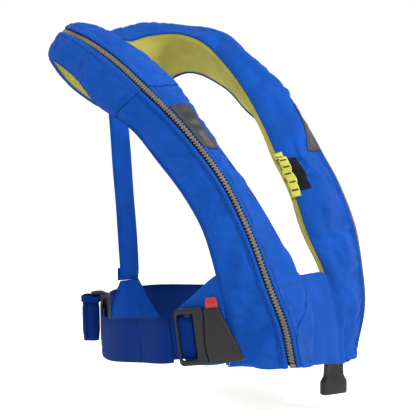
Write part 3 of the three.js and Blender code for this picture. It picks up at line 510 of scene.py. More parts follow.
def cover_material(name, color, cell=0.0028):
    """Matt polyester with a small honeycomb rib over a fine diagonal weave."""
    s = Shader(name)
    uv = s.coords("UV")
    x, y, _ = s.split(uv)
    slant_a = s.math("ADD", s.math("MULTIPLY", x, 0.5), s.math("MULTIPLY", y, 0.866))
    slant_b = s.math("SUBTRACT", s.math("MULTIPLY", x, 0.5), s.math("MULTIPLY", y, 0.866))
    cells = s.math("ADD", s.sine(x, cell), s.math("ADD", s.sine(slant_a, cell), s.sine(slant_b, cell)))
    rib = s.ramp(cells, 0.6, 1.7)
    fine_a = s.sine(s.math("ADD", x, y), 0.0008)
    fine_b = s.sine(s.math("SUBTRACT", x, y), 0.0008)
    weave = s.math("MULTIPLY", fine_a, fine_b)
    cloud = s.noise(s.coords("Object"), 26, 3)
    slubs = s.noise(s.coords("UV", (900, 220, 1)), 1.0, 2)
    tone = s.mottle(cloud, color, 0.86, 1.12)
    # painted shade: the fabric darker in the hollows of the honeycomb rib
    tone = s.tint(tone, s.ramp(rib, 1.0, 0.0), 0.42, color, 0.5)
    tone = s.tint(tone, slubs, 0.12, color, 1.5)
    height = s.math("ADD", s.math("MULTIPLY", rib, 0.7), s.math("MULTIPLY", weave, 0.3))
    normal = s.bump(height, 0.00055, 0.9)
    normal = s.bump(s.noise(s.coords("Object"), 120, 4), 0.0012, 0.45, normal)
    roughness = s.ramp(cloud, 0.2, 0.8, 0.62, 0.78)
    return s.done(tone, roughness, normal, Sheen_Weight=0.02, Sheen_Roughness=0.45,
                  Specular_IOR_Level=0.07)


def mesh_lining_material(name, color):
    """Ribbed mesh lining: fine cords along the loop with small holes between them."""
    s = Shader(name)
    x, y, _ = s.split(s.coords("UV"))
    cords = s.sine(y, 0.0021)
    rungs = s.sine(x, 0.0021)
    holes = s.math("MULTIPLY", s.ramp(cords, 0.45, 0.0), s.ramp(rungs, 0.5, 0.0))
    cloud = s.noise(s.coords("Object"), 22, 3)
    tone = s.mottle(cloud, color, 0.82, 1.15)
    # painted shade: darker between the cords and darker still in the holes, the mesh's hollows
    tone = s.tint(tone, s.ramp(cords, 0.6, 0.0), 0.3, color, 0.5)
    tone = s.tint(tone, holes, 0.55, color, 0.25)
    normal = s.bump(s.math("SUBTRACT", cords, s.math("MULTIPLY", holes, 0.6)), 0.0005, 0.8)
    return s.done(tone, s.ramp(cloud, 0.2, 0.8, 0.7, 0.85), normal, Sheen_Weight=0.05,
                  Sheen_Roughness=0.5, Specular_IOR_Level=0.15)


def webbing_material(name, color, width, pitch=0.0012, selvedge=0.0022, chevron=0.0):
    """Woven strap: picks across, warp along, and a denser edge on both sides."""
    s = Shader(name)
    x, y, _ = s.split(s.coords("UV"))
    shifted = s.math("ADD", x, s.math("MULTIPLY", s.math("PINGPONG", y, 0.004), chevron))
    picks = s.sine(shifted, pitch)
    warp = s.sine(y, 0.0009)
    weave = s.math("MULTIPLY", s.ramp(picks, 0, 1, 0.35, 1.0), s.ramp(warp, 0, 1, 0.6, 1.0))
    edge = s.math("MINIMUM", y, s.math("SUBTRACT", width, y))
    border = s.ramp(edge, selvedge * 0.85, selvedge * 1.1, 1.0, 0.0)
    cloud = s.noise(s.coords("Object"), 34, 3)
    fuzz = s.noise(s.coords("UV", (700, 2600, 1)), 1.0, 2)
    tone = s.mottle(cloud, color, 0.85, 1.15)
    # painted shade: darker in the low points of the weave
    tone = s.tint(tone, s.ramp(weave, 0.7, 0.2), 0.45, color, 0.5)
    tone = s.tint(tone, border, 0.3, color, 0.7)
    tone = s.tint(tone, s.ramp(fuzz, 0.55, 0.8), 0.3, color, 1.7)
    normal = s.bump(weave, 0.0004, 0.8)
    normal = s.bump(border, 0.0004, 0.5, normal)
    return s.done(tone, s.ramp(fuzz, 0.2, 0.8, 0.6, 0.8), normal, Sheen_Weight=0.01,
                  Sheen_Roughness=0.5, Specular_IOR_Level=0.05)


def plastic_material(name, color, roughness=0.42, grain=0.00006, worn=1.9):
    """Moulded plastic: fine spark-eroded grain, faint flow marks and rubbed high spots."""
    s = Shader(name)
    where = s.coords("Object")
    fine = s.noise(where, 2400, 2)
    flow = s.noise(s.coords("Object", (40, 40, 9)), 1.0, 3)
    scuffs = s.noise(s.coords("Object", (60, 300, 500)), 1.0, 4, 0.7)
    tone = s.mottle(flow, color, 0.85, 1.2)
    tone = s.mix(s.ramp(scuffs, 0.62, 0.74, 0.0, 0.35), tone, shade(color, worn))
    normal = s.bump(fine, grain, 0.7)
    normal = s.bump(scuffs, 0.00012, 0.25, normal)
    rough = s.math("ADD", s.ramp(scuffs, 0.3, 0.75, roughness, roughness + 0.16),
                   s.ramp(fine, 0, 1, -0.04, 0.04))
    return s.done(tone, rough, normal, Specular_IOR_Level=0.35)


def metal_material(name, color, roughness=0.32, metallic=1.0):
    """Drawn or cast metal with brushing, tarnish in patches and bright rubbed spots."""
    s = Shader(name)
    brush = s.noise(s.coords("Object", (90, 900, 900)), 1.0, 3)
    patches = s.noise(s.coords("Object"), 160, 4, 0.65)
    tone = s.mottle(patches, color, 0.72, 1.12, 0.35, 0.7)
    normal = s.bump(brush, 0.00008, 0.5)
    rough = s.ramp(patches, 0.3, 0.75, roughness - 0.06, roughness + 0.16)
    return s.done(tone, rough, normal, Metallic=metallic)


def reflective_material(name, color):
    """Glass-bead reflective tape: painted glints of the beads as a fine sparkle over a grey ground, with a
    pressed lattice.
    """
    s = Shader(name)
    x, y, _ = s.split(s.coords("UV"))
    beads = s.noise(s.coords("Object"), 5200, 1)
    cloud = s.noise(s.coords("Object"), 60, 3)
    a = s.sine(s.math("ADD", x, y), 0.006)
    b = s.sine(s.math("SUBTRACT", x, y), 0.006)
    lattice = s.math("MAXIMUM", s.ramp(a, 0.93, 1.0), s.ramp(b, 0.93, 1.0))
    tone = s.mottle(cloud, color, 0.85, 1.15)
    # painted glints: lighter specks of the beads' sparkle in the colour
    tone = s.mix(s.ramp(beads, 0.55, 0.75, 0.0, 0.5), tone, shade(color, 2.2))
    tone = s.tint(tone, lattice, 0.25, color, 0.55)
    normal = s.bump(s.math("SUBTRACT", beads, lattice), 0.00012, 0.6)
    return s.done(tone, s.ramp(beads, 0.3, 0.7, 0.38, 0.55), normal, Specular_IOR_Level=0.3)


def cord_material(name, color):
    """Braided cord: two sets of strands that cross."""
    s = Shader(name)
    x, y, z = s.split(s.coords("Object"))
    turn = s.math("ARCTAN2", y, x)
    a = s.sine(s.math("ADD", z, s.math("MULTIPLY", turn, 0.0006)), 0.0016)
    b = s.sine(s.math("SUBTRACT", z, s.math("MULTIPLY", turn, 0.0006)), 0.0016)
    braid = s.math("MAXIMUM", a, b)
    # painted light and shade: the strands' crowns lighter, the hollows between them darker
    tone = s.mix(s.ramp(braid, 0.9, 0.5), shade(color, 1.1), shade(color, 0.5))
    return s.done(tone, s.ramp(braid, 0.5, 1, 0.8, 0.6), s.bump(braid, 0.0003, 0.8), Sheen_Weight=0.2)


def film_material(name, color):
    """Coated nylon bladder: a plain weave under a smooth film, creased where it is folded."""
    s = Shader(name)
    where = s.coords("Object")
    x, _, z = s.split(where)
    weave = s.math("MULTIPLY", s.sine(x, 0.0011), s.sine(z, 0.0011))
    creases = s.noise(s.coords("Object", (30, 30, 12)), 1.0, 5, 0.6)
    # painted shade in the creases and painted light on their crests
    tone = s.mottle(creases, color, 0.7, 1.1, 0.35, 0.65)
    tone = s.tint(tone, weave, 0.2, color, 0.7)
    normal = s.bump(creases, 0.004, 0.6)
    normal = s.bump(weave, 0.0002, 0.5, normal)
    return s.done(tone, s.ramp(creases, 0.3, 0.7, 0.4, 0.6), normal, Coat_Weight=0.15)


BLUE = (0.0030, 0.062, 0.335)
LIME = (0.370, 0.344, 0.062)
NAVY = (0.0004, 0.019, 0.140)
STRAP = (0.0018, 0.058, 0.370)
cover = cover_material("cover_fabric", BLUE)
cover_dark = cover_material("cover_binding", shade(BLUE, 0.8), 0.0014)
lining = mesh_lining_material("lining_mesh", LIME)
ladder_web = webbing_material("lime_webbing", (0.50, 0.47, 0.085), 0.014, 0.0011, 0.001)
belt_web = webbing_material("belt_webbing", NAVY, 0.047, 0.0013, 0.0028, 0.25)
strap_web = webbing_material("strap_webbing", STRAP, 0.037, 0.0012, 0.0018)
gusset_cloth = webbing_material("gusset_webbing", STRAP, 0.2, 0.0012, 0.0001)
# the zip tape's dark navy, darkened to near black as painted shade in the gaps between the teeth
tape_and_gap_shade_cloth = webbing_material("zip_tape", shade(BLUE, 0.16), 0.014, 0.0009, 0.001)
# painted shadow: a near-black sheet laid under the arch of the ladder strap
ladder_shadow_sheet = webbing_material("black_fabric", (0.010, 0.010, 0.011), 0.02, 0.001, 0.001)
reflective = reflective_material("reflective_fabric", (0.022, 0.022, 0.026))
blue_thread = webbing_material("thread", shade(BLUE, 0.55), 1.0, 0.0006, 0.0001)
# painted shade: near-black thread for the tacks, standing for the shade in the ladder strap's slots
ladder_slot_shade = webbing_material("ladder_slot_shade", (0.06, 0.058, 0.016), 1.0, 0.0006, 0.0001)
teeth = plastic_material("zip_teeth", (0.120, 0.102, 0.086), 0.36, 0.00004, 2.4)
black = plastic_material("black_plastic", (0.0045, 0.0045, 0.0048), 0.44)
red = plastic_material("red_plastic", (0.360, 0.020, 0.026), 0.4)
zip_metal = metal_material("zip_metal", (0.23, 0.20, 0.18), 0.38, 0.8)
steel = metal_material("steel", (0.56, 0.57, 0.59))
red_cord = cord_material("red_cord", (0.50, 0.030, 0.040))
film = film_material("bladder_film", (0.70, 0.60, 0.05))

# ---------------------------------------------------------------- padded loop
STATIONS = 337
LOOP_LENGTH = 1200  # of the ridge, near enough for a weave
WEAVE_START = 200  # keeps the lengths across the weave positive
ZIP_COLUMNS = np.array([ZIP_EDGE, 8.2, 11.4, 13.0, 14.6, 18.5, 23.5, 29])  # mm from the ridge
SWELL_CAP = 6.0


def chord_shares(side, distances, from_end):
    """Chord shares that lie these distances over the cloth from one end of a side."""
    t = np.linspace(0, 1, 81)
    one = {key: np.repeat(side[key], len(t), 0) for key in side}
    points, _ = on_side(one, t, 0.0)
    s = arc_lengths(points[::-1] if from_end else points)
    found = np.interp(distances, s, t)
    return 1 - found if from_end else found


WRAP = 9.0  # mm of the left lobe's cover, from its neck edge, that the lining takes over


def side_columns(k, side, wrap):
    """Chord shares of the columns on one side: fine beside the zip, even elsewhere."""
    if k == 0:
        near = 1 - chord_shares(side, ZIP_COLUMNS, True)
        start = chord_shares(side, [WRAP * wrap], False)[0] if wrap else 0.0
        return np.concatenate([np.linspace(start, 1 - near[-1], 14)[:-1], 1 - near[::-1]])
    if k == 1:
        near = chord_shares(side, ZIP_COLUMNS, False)
        return np.concatenate([near, np.linspace(near[-1], 1, 9)[1:-1]])
    shares = np.linspace(0, 1, 19)
    return shares[:-1] * (1 - wrap) + np.linspace(0, 1, 18) * wrap


def loop_grid():
    """Rows of points round the loop, and where the ridge and the two edges lie in a row."""
    u = np.linspace(0, 1, STATIONS)
    corners, middle, sides = sections(u)
    rows = []
    for i in range(STATIONS):
        row = []
        for k in range(3):
            side = {key: sides[k][key][i:i + 1] for key in sides[k]}
            wrap = np.clip((u[i] - 0.52) / 0.1, 0, 1)
            shares = side_columns(k, side, eased(wrap))
            one = {key: np.repeat(side[key], len(shares), 0) for key in side}
            points, _ = on_side(one, shares, 0.0)
            row.append(points)
            if k == 0:
                row.append(corners[1][i:i + 1] - unit(corners[1][i] - middle[i]) * 1.0)
        rows.append(np.vstack(row))
    ridge = 13 + len(ZIP_COLUMNS)
    arm = ridge + 1 + len(ZIP_COLUMNS) + 7
    return u, np.array(rows), ridge, arm


U, GRID, RIDGE_COLUMN, ARM_COLUMN = loop_grid()
ROWS, COLUMNS = GRID.shape[:2]


def end_rings(ring, drop, steps):
    """Rings that close the end of a lobe: a short wall that hangs by drop, and a flat sole."""
    centre = ring.mean(0)
    rings = []
    for size, fall in steps:
        rings.append(centre + (ring - centre) * size - V(0, 0, drop * fall))
    return rings


SOLE = ((0.97, 0.93), (0.9, 1.0), (0.6, 1.03), (0.25, 1.0))
RIGHT_CAP = end_rings(GRID[0], 1.0, ((1.0, 0.6),) + SOLE)
HANDLE_TURN = math.radians(-25)
HANDLE = (V(56.389, -148.848, -1), V(math.cos(HANDLE_TURN), math.sin(HANDLE_TURN), 0),
          V(-math.sin(HANDLE_TURN), math.cos(HANDLE_TURN), 0), V(0, 0, 1))
LEFT_DROP = 13.0


def round_the_handle(ring, clear=1.3):
    """Where the sole of the left lobe ends: an opening just wider than the handle's neck."""
    away = ring - HANDLE[0]
    x, y = away @ HANDLE[1], away @ HANDLE[2]
    size = ((np.abs(x) / (12 + clear)) ** 4 + (np.abs(y) / (5 + clear)) ** 4) ** 0.25
    out = HANDLE[0] + np.outer(x / size, HANDLE[1]) + np.outer(y / size, HANDLE[2])
    out[:, 2] = ring[:, 2]
    return out


def left_cap():
    rings = end_rings(GRID[-1], LEFT_DROP, ((1.01, 0.3), (1.01, 0.6), (0.97, 0.93), (0.9, 1.0)))
    hole = round_the_handle(rings[-1])
    for share, lift in ((0.4, -0.3), (0.75, 0.0), (1.0, 1.0)):
        rings.append(rings[3] * (1 - share) + hole * share + V(0, 0, lift))
    return rings


LEFT_CAP = left_cap()
ALL_ROWS = np.array(RIGHT_CAP[::-1] + list(GRID) + LEFT_CAP)
FIRST = len(RIGHT_CAP)
LAST = len(ALL_ROWS) - 1


def row_at(u):
    """The row nearest to a share of the loop."""
    return FIRST + int(round(u * (ROWS - 1)))


HELD_STEPS, HELD_WEIGHTS = (0, 3, 4, 5, 6), (1, 1, 0.5, 0.2, 0)
START_SMALLER = 4.0
LINING_SHARE = 0.25  # the lining is backed by a mesh and swells less than the covers


def held_weights(columns):
    """How firmly each column is held: at the zip and at the two edges."""
    j = np.arange(columns)
    edge = np.minimum(np.minimum(j, columns - j), np.abs(j - ARM_COLUMN))
    edges = np.where(edge == 0, 1.0, np.where(j == columns - 1, 0.9, 0.0))
    return np.maximum(np.interp(np.abs(j - RIDGE_COLUMN), HELD_STEPS, HELD_WEIGHTS), edges)


SWELL_CLOTH = dict(
    quality=6, mass=0.25, tension_stiffness=18, compression_stiffness=18, shear_stiffness=6,
    bending_stiffness=0.35, shrink_min=-0.045, use_pressure=True, uniform_pressure_force=4.0,
    vertex_group_mass="held", pin_stiffness=1.0)
SWELL_FRAMES = 20


def swell(rows):
    """The closed loop as cloth under pressure, held along its zip and its two edges."""
    count, columns = rows.shape[:2]
    free = 1 - held_weights(columns)
    inward = rows.mean(1, keepdims=True) - rows
    reach = np.linalg.norm(inward, axis=2, keepdims=True)
    j = np.arange(columns)
    slack = free * (j <= ARM_COLUMN) * np.clip(np.minimum(j, np.abs(j - ARM_COLUMN)) / 4, 0, 1)
    rows = rows + inward / reach * np.minimum(reach * 0.2, START_SMALLER) * slack[None, :, None]
    points, faces = loft(list(rows))
    mesh = bpy.data.meshes.new("swelling")
    mesh.from_pydata((points * MM).tolist(), [], faces)
    body = bpy.data.objects.new("swelling", mesh)
    bpy.context.scene.collection.objects.link(body)
    held = body.vertex_groups.new(name="held")
    for j in range(columns):
        weight = 1 - free[j]
        if weight:
            held.add([i * columns + j for i in range(count)], weight, "REPLACE")
    held.add(list(range(columns)) + list(range((count - 1) * columns, count * columns)), 1.0, "REPLACE")
    cloth = body.modifiers.new("cloth", "CLOTH")
    for key, value in SWELL_CLOTH.items():
        setattr(cloth.settings, key, value)
    cloth.settings.effector_weights.gravity = 0
    cloth.collision_settings.use_collision = False
    cloth.point_cache.frame_start, cloth.point_cache.frame_end = 1, SWELL_FRAMES
    scene = bpy.context.scene
    for step in range(1, SWELL_FRAMES + 1):
        scene.frame_set(step)
    shape = body.evaluated_get(bpy.context.evaluated_depsgraph_get()).to_mesh()
    moved = np.zeros(len(points) * 3)
    shape.vertices.foreach_get("co", moved)
    moved = moved.reshape(-1, 3) / MM
    bpy.data.objects.remove(body)
    scene.frame_set(1)
    shift = (moved - points).reshape(rows.shape)
    shift[:, ARM_COLUMN + 1:] *= LINING_SHARE
    shift = shift.reshape(-1, 3)
    size = np.linalg.norm(shift, axis=1, keepdims=True)
    shift *= np.minimum(1, SWELL_CAP / np.maximum(size, 1e-9))
    return (points + shift).reshape(rows.shape)


def row_normals(rows):
    """Outward normals of the loop's grid."""
    down = np.gradient(rows, axis=0)
    across = (np.roll(rows, -1, 1) - np.roll(rows, 1, 1))
    normal = unit(np.cross(down, across))
    inside = rows.mean(1, keepdims=True)
    flip = np.sign(np.sum(normal * (rows - inside), axis=(1, 2), keepdims=True))
    return normal * np.where(flip == 0, 1, flip)


SWOLLEN = swell(ALL_ROWS)
RIDGE_LENGTH = np.concatenate([np.zeros(FIRST), arc_lengths(CURVES[1](U)),
                               np.full(len(LEFT_CAP), arc_lengths(CURVES[1](U))[-1])])
RIDGE_LENGTH[:FIRST] = -np.arange(FIRST, 0, -1) * 5.0
RIDGE_LENGTH[FIRST + ROWS:] += np.arange(1, len(LEFT_CAP) + 1) * 5.0


def across_lengths(rows):
    """Distance of every point from the ridge, measured over the cloth, both ways round."""
    steps = np.linalg.norm(np.diff(np.concatenate([rows, rows[:, :1]], 1), axis=1), axis=2)
    total = np.concatenate([np.zeros((len(rows), 1)), np.cumsum(steps, 1)], 1)
    return total[:, RIDGE_COLUMN:RIDGE_COLUMN + 1] - total[:, :-1]


ACROSS = across_lengths(SWOLLEN)


def neck_width(u):
    """How wide the neck side's cloth is at a share of the loop."""
    return ACROSS[row_at(u), 0]


def creases():
    """Where the cloth is creased: two ends as (length, distance) in mm, depth and half-width."""
    rng = np.random.default_rng(7)
    total = RIDGE_LENGTH[FIRST + ROWS - 1]
    out = []
    for _ in range(CREASES):
        start, side = rng.uniform(0, total), rng.choice([-1, 1])
        near = rng.uniform(14, 24) if rng.random() < 0.6 else rng.uniform(40, 70)
        reach, lean = rng.uniform(14, 34), rng.uniform(-14, 14)
        out.append((start, side * near, start + lean, side * (near + reach),
                    rng.uniform(1.8, 3.8), rng.uniform(2.6, 4.6)))
    return out


CREASES = 230
LINING_SET_BACK, COVER_EDGE_RISE = 0.8, 1.3
CHANNEL_DEPTH, CHANNEL_AT, CHANNEL_WIDTH = 1.9, 12.6, 1.5  # the sewn channel beside the zip


def pucker(rows):
    """Sewn channels beside the zip, soft gathers, and creases that cross the lobes."""
    normal = row_normals(rows)
    s = np.repeat(RIDGE_LENGTH[:, None], COLUMNS, 1)
    d = np.abs(ACROSS)
    j = np.arange(COLUMNS)
    edge = np.minimum(np.minimum(j, COLUMNS - j), np.abs(j - ARM_COLUMN))[None, :] * np.ones((len(rows), 1))
    covers = (j <= ARM_COLUMN)[None, :] * np.ones((len(rows), 1))
    gather, wide = np.zeros(s.shape), np.zeros(s.shape)
    for i in range(len(rows)):
        for k in range(COLUMNS):
            side = 1.0 if k <= RIDGE_COLUMN else (2.0 if k <= ARM_COLUMN else 3.0)
            gather[i, k] = noise.noise(Vector((s[i, k] / 8.0, side * 7.3, d[i, k] / 60.0)))
            wide[i, k] = noise.noise(Vector((s[i, k] / 26.0, side * 3.1 + 5, d[i, k] / 30.0)))
    inner = np.minimum(1, edge / 3) * np.minimum(1, d / 16)
    amount = 0.7 * gather * np.exp(-((d - 19) / 6.0) ** 2) * covers
    amount += 0.5 * gather * np.exp(-((edge - 1.5) / 1.2) ** 2) * (edge > 0)
    amount += wide * np.where(covers > 0, 0.9, 0.3) * inner
    for s0, d0, s1, d1, depth, width in creases():
        along = np.array([s1 - s0, d1 - d0])
        length = np.hypot(*along)
        along = along / length
        ahead = (s - s0) * along[0] + (ACROSS - d0) * along[1]
        aside = np.abs(-(s - s0) * along[1] + (ACROSS - d0) * along[0])
        t = ahead / length
        fade = np.clip(t * 3, 0, 1) * np.clip((1 - t) * 1.6, 0, 1)
        shape = -np.exp(-aside / width * 1.6) + 0.55 * np.exp(-((aside - 1.7 * width) / width) ** 2)
        amount += depth * shape * fade * inner * covers
    amount -= CHANNEL_DEPTH * np.exp(-((d - CHANNEL_AT) / CHANNEL_WIDTH) ** 2) * covers
    amount += 0.5 * np.exp(-((d - 8.5) / 2.5) ** 2) * covers
    amount -= LINING_SET_BACK * (1 - covers) * np.exp(-((edge - 1.6) / 1.4) ** 2) * (edge > 0)
    amount += COVER_EDGE_RISE * covers * np.exp(-((edge - 1.5) / 1.5) ** 2) * (edge > 0)
    return rows + normal * amount[:, :, None]


FINAL = pucker(SWOLLEN)
RIGHT_HALF, LOWEST = len(FINAL) // 2, -1.5  # the right lobe hangs no lower than its hem
FINAL[:RIGHT_HALF, :, 2] = np.maximum(FINAL[:RIGHT_HALF, :, 2], LOWEST)
NORMALS = row_normals(FINAL)


def surface_point(u, column, height=0.0):
    """A point of the finished cloth at a share of the loop and a column, with its normal."""
    x = FIRST + np.atleast_1d(u) * (ROWS - 1)
    column = np.broadcast_to(column, x.shape)
    i, j = np.floor(x).astype(int), np.floor(column).astype(int)
    i, j = np.minimum(i, len(FINAL) - 2), np.minimum(j, COLUMNS - 1)
    a, b = (x - i)[:, None], (column - j)[:, None]
    n = (j + 1) % COLUMNS

    def mix(grid):
        return ((grid[i, j] * (1 - a) + grid[i + 1, j] * a) * (1 - b)
                + (grid[i, n] * (1 - a) + grid[i + 1, n] * a) * b)

    normal = unit(mix(NORMALS))
    return mix(FINAL) + normal * height, normal


def column_at(u, distance, side):
    """The column that lies this far from the ridge at each share of the loop."""
    u = np.atleast_1d(u)
    out = []
    way = np.arange(RIDGE_COLUMN, ARM_COLUMN + 1) if side else np.arange(RIDGE_COLUMN, -1, -1)
    for x, d in zip(u, np.broadcast_to(distance, u.shape)):
        out.append(np.interp(d, np.abs(ACROSS[row_at(x), way]), way))
    return np.array(out)


def outward(points, normals, faces):
    """Faces turned so that they look the way of the given normals."""
    points, normals = points.reshape(-1, 3), normals.reshape(-1, 3)
    quad = np.array(faces)
    a, b, d = points[quad[:, 0]], points[quad[:, 1]], points[quad[:, 3]]
    side = np.sum(np.cross(b - a, d - a) * normals[quad[:, 0]])
    return faces if side > 0 else [f[::-1] for f in faces]


def panel(name, rows, columns, material, nodes, lift):
    """One sewn panel cut out of the swollen loop."""
    columns = [c % COLUMNS for c in columns]
    raised = lift[rows[0]:rows[1] + 1, None, None]
    points = FINAL[rows[0]:rows[1] + 1][:, columns] + NORMALS[rows[0]:rows[1] + 1][:, columns] * raised
    v = ACROSS[rows[0]:rows[1] + 1][:, columns].copy()
    if columns[-1] == 0:
        v[:, -1] = v[:, -2] - np.linalg.norm(points[:, -1] - points[:, -2], axis=1)
    uv = np.stack([np.repeat(RIDGE_LENGTH[rows[0]:rows[1] + 1, None], len(columns), 1), v + WEAVE_START], 2)
    faces = outward(points, NORMALS[rows[0]:rows[1] + 1][:, columns],
                    grid_faces(points.shape[0], points.shape[1]))
    obj = finish_mesh(name, points.reshape(-1, 3), faces, material, replaces=nodes,
                      uv=uv.reshape(-1, 2), body=None)
    thicken(obj, CLOTH)
    add_subdivision(obj, 1)
    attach(obj, "root")
    return obj


RIGHT_SEAM = row_at(SEAM)
NECK = list(range(0, RIDGE_COLUMN))
ARM = list(range(RIDGE_COLUMN + 1, ARM_COLUMN + 1))
INSIDE = list(range(ARM_COLUMN, COLUMNS)) + [0]

RISE = 1.5 * np.clip((FIRST + (1 - SEAM) * (ROWS - 1) - np.arange(len(FINAL))) / 60, 0, 1)


def cover_panels():
    flat = RISE * 0
    last_right, first_left = RIGHT_SEAM + 2, FIRST + ROWS - 1
    for name, rows, columns, cloth, nodes, lift in (
            ("cover_neck_right", (0, last_right), NECK, cover, ["cover_neck_side_right"], flat),
            ("cover_arm_right", (0, last_right), ARM, cover, ["cover_arm_side_right", "hem_right"], flat),
            ("sole_right", (0, FIRST), INSIDE, cover, [], flat),
            ("sole_left", (first_left, LAST), INSIDE, cover, [], flat),
            ("lining_soft_right", (FIRST, last_right), INSIDE, lining, ["lining_right"], flat),
            ("cover_neck_collar_left", (RIGHT_SEAM, LAST), NECK, cover,
             ["cover_neck_side_collar", "cover_neck_side_left"], RISE),
            ("cover_arm_collar_left", (RIGHT_SEAM, LAST), ARM, cover,
             ["cover_arm_side_collar", "cover_arm_side_left", "hem_left"], RISE),
            ("lining_soft_collar_left", (RIGHT_SEAM, first_left), INSIDE, lining,
             ["lining_collar", "lining_left"], RISE * 0.3)):
        panel(name, rows, columns, cloth, nodes, lift)


cover_panels()


def binding(name, column, radius, material):
    u = np.linspace(0.002, 0.998, 300)
    line, _ = surface_point(u, column, 0.1)
    points, faces, uv = tube_mesh(line, radius, 10, 0.75)
    return finish_mesh(name, points, faces, material, uv=uv)


binding("binding_arm", ARM_COLUMN, 1.9, cover_dark)
binding("binding_neck", 0, 2.0, cover_dark)


def seam_stitches(name, lines, material, slot, **sizes):
    points, faces, _ = merge([thread(line, normals, **sizes) for line, normals in lines])
    return finish_mesh(name, points, faces, material, uv=points[:, :2])


u_line = np.linspace(0.004, 0.996, 500)
zip_lines = [surface_point(u_line, column_at(u_line, distance, side), 0.15)
             for side in (0, 1) for distance in (10.8, 15.4)]
seam_stitches("zip_stitching", zip_lines, blue_thread, "cover_fabric")

# ---------------------------------------------------------------- zip
def zip_parts():
    u = np.linspace(0.002, 0.998, 400)
    columns, uv = [], []
    for side, distance in ((0, 8.0), (0, ZIP_EDGE), (0, 2.2), (1, 2.2), (1, ZIP_EDGE), (1, 8.0)):
        columns.append(surface_point(u, column_at(u, distance, side), -1.1)[0])
        uv.append(np.stack([u * LOOP_LENGTH, np.full(len(u), 7 + (distance if side else -distance))], 1))
    points, uv = np.stack(columns, 1), np.stack(uv, 1).reshape(-1, 2)
    normals = np.repeat(ridge_frame(u)[1][:, None], 6, 1)
    faces = outward(points, normals, grid_faces(len(u), 6))
    tapes = finish_mesh("zip_tapes", points.reshape(-1, 3), faces, tape_and_gap_shade_cloth, None,
                        ["zip_tape_neck_side", "zip_tape_arm_side"], uv)
    thicken(tapes, 0.8)
    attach(tapes, "root")
    dense = np.linspace(0.0048, 0.9952, 4000)
    at, out, across, along = ridge_frame(dense)
    s = arc_lengths(at)
    pitch = 3.7
    count = int(s[-1] / pitch)
    shape = tooth_shape()
    all_points, all_faces = [], []
    for k in range(count * 2):
        place_at = (k + 0.5) * pitch / 2
        i = min(np.searchsorted(s, place_at), len(s) - 1)
        sign = 1 if k % 2 else -1
        local = shape[0] * V(1, sign, 1)
        points = place(local, (at[i], along[i], across[i], out[i]))
        first = len(all_points) * len(shape[0])
        faces_k = [f if sign > 0 else f[::-1] for f in shape[1]]
        all_points.append(points)
        all_faces += [tuple(first + q for q in f) for f in faces_k]
    finish_mesh("zip_teeth_rows", np.vstack(all_points), all_faces, teeth,
                replaces=["zip_chain"])


def tooth_shape():
    """One moulded tooth: a narrow root on the tape and a rounded head past the middle."""
    rings = []
    for y, half, low, high in ((3.5, 0.75, -0.6, 0.7), (3.1, 0.95, -0.8, 1.5), (1.6, 0.95, -0.9, CHAIN_TOP),
                               (0.4, 0.55, -0.9, CHAIN_TOP - 0.2), (-0.6, 0.95, -0.8, CHAIN_TOP - 0.1),
                               (-1.7, 0.7, -0.4, 1.2)):
        rings.append([(x * half, y, z) for x, z in ((-1, low), (-1, high - 0.3), (-0.6, high), (0.6, high),
                                                    (1, high - 0.3), (1, low))])
    points, faces = loft(rings)
    return points, [f[::-1] for f in faces]


zip_parts()


def node_look(name, material, edge):
    """A carried-over CAD node with its finish, and its edges eased."""
    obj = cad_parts[name]
    obj.data.materials.clear()
    obj.data.materials.append(material)
    if edge:
        obj.data.shade_smooth()
        rounding(obj, edge)
        obj.modifiers["edges"].harden_normals = True


for name, material, edge in (
        ("zip_end_stop_right", teeth, 0.4), ("zip_end_stop_left", teeth, 0.4),
        ("zip_slider", zip_metal, 0.35),
        ("zip_pull_tab", zip_metal, 0.25), ("gas_cylinder", steel, 0.0), ("inflator_body", black, 0.8),
        ("lever_pin", steel, 0.2), ("firing_lever", red, 0.5), ("firing_cap", black, 0.4),
        ("lanyard", red_cord, 0.0), ("oral_tube", black, 0.3),
        ("oral_tube_cap", red, 0.4), ("whistle", red, 0.6),
        ("tab_spring", steel, 0.0)):
    node_look(name, material, edge)

# ---------------------------------------------------------------- trim on the lobes
def on_loop_patch(name, u_range, across_range, material, nodes, height):
    """A patch laid on the neck side of the loop, between two distances from the ridge."""
    rows, columns, thickness = 14, 8, 0.5
    points, normals, uv = [], [], []
    for u in u_range[0] + (u_range[1] - u_range[0]) * np.arange(rows) / (rows - 1):
        near, far = across_range(u)
        distances = near + (far - near) * np.arange(columns) / (columns - 1)
        along = np.full(columns, u)
        row, facing = surface_point(along, column_at(along, distances, 0), height)
        points += list(row)
        normals += list(facing)
        uv += [(u * LOOP_LENGTH, d) for d in distances]
    faces = outward(np.array(points), np.array(normals), grid_faces(rows, columns))
    obj = finish_mesh(name, points, faces, material, replaces=nodes, uv=uv, body=None)
    thicken(obj, thickness, 0)
    add_subdivision(obj, 1)
    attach(obj, "root")
    return obj


def patch_span(u):
    return ZIP_EDGE + 0.3, neck_width(u) * 0.47


on_loop_patch("reflective_right", (5.1 / SPANS, 6.35 / SPANS), patch_span, reflective,
              ["reflective_patch_right"], 0.9)
on_loop_patch("reflective_left", (17.65 / SPANS, 18.9 / SPANS), patch_span, reflective,
              ["reflective_patch_left"], 0.9)

LADDER = dict(low=18.93 / SPANS, high=20.15 / SPANS, width=12.0, bow=6.0)


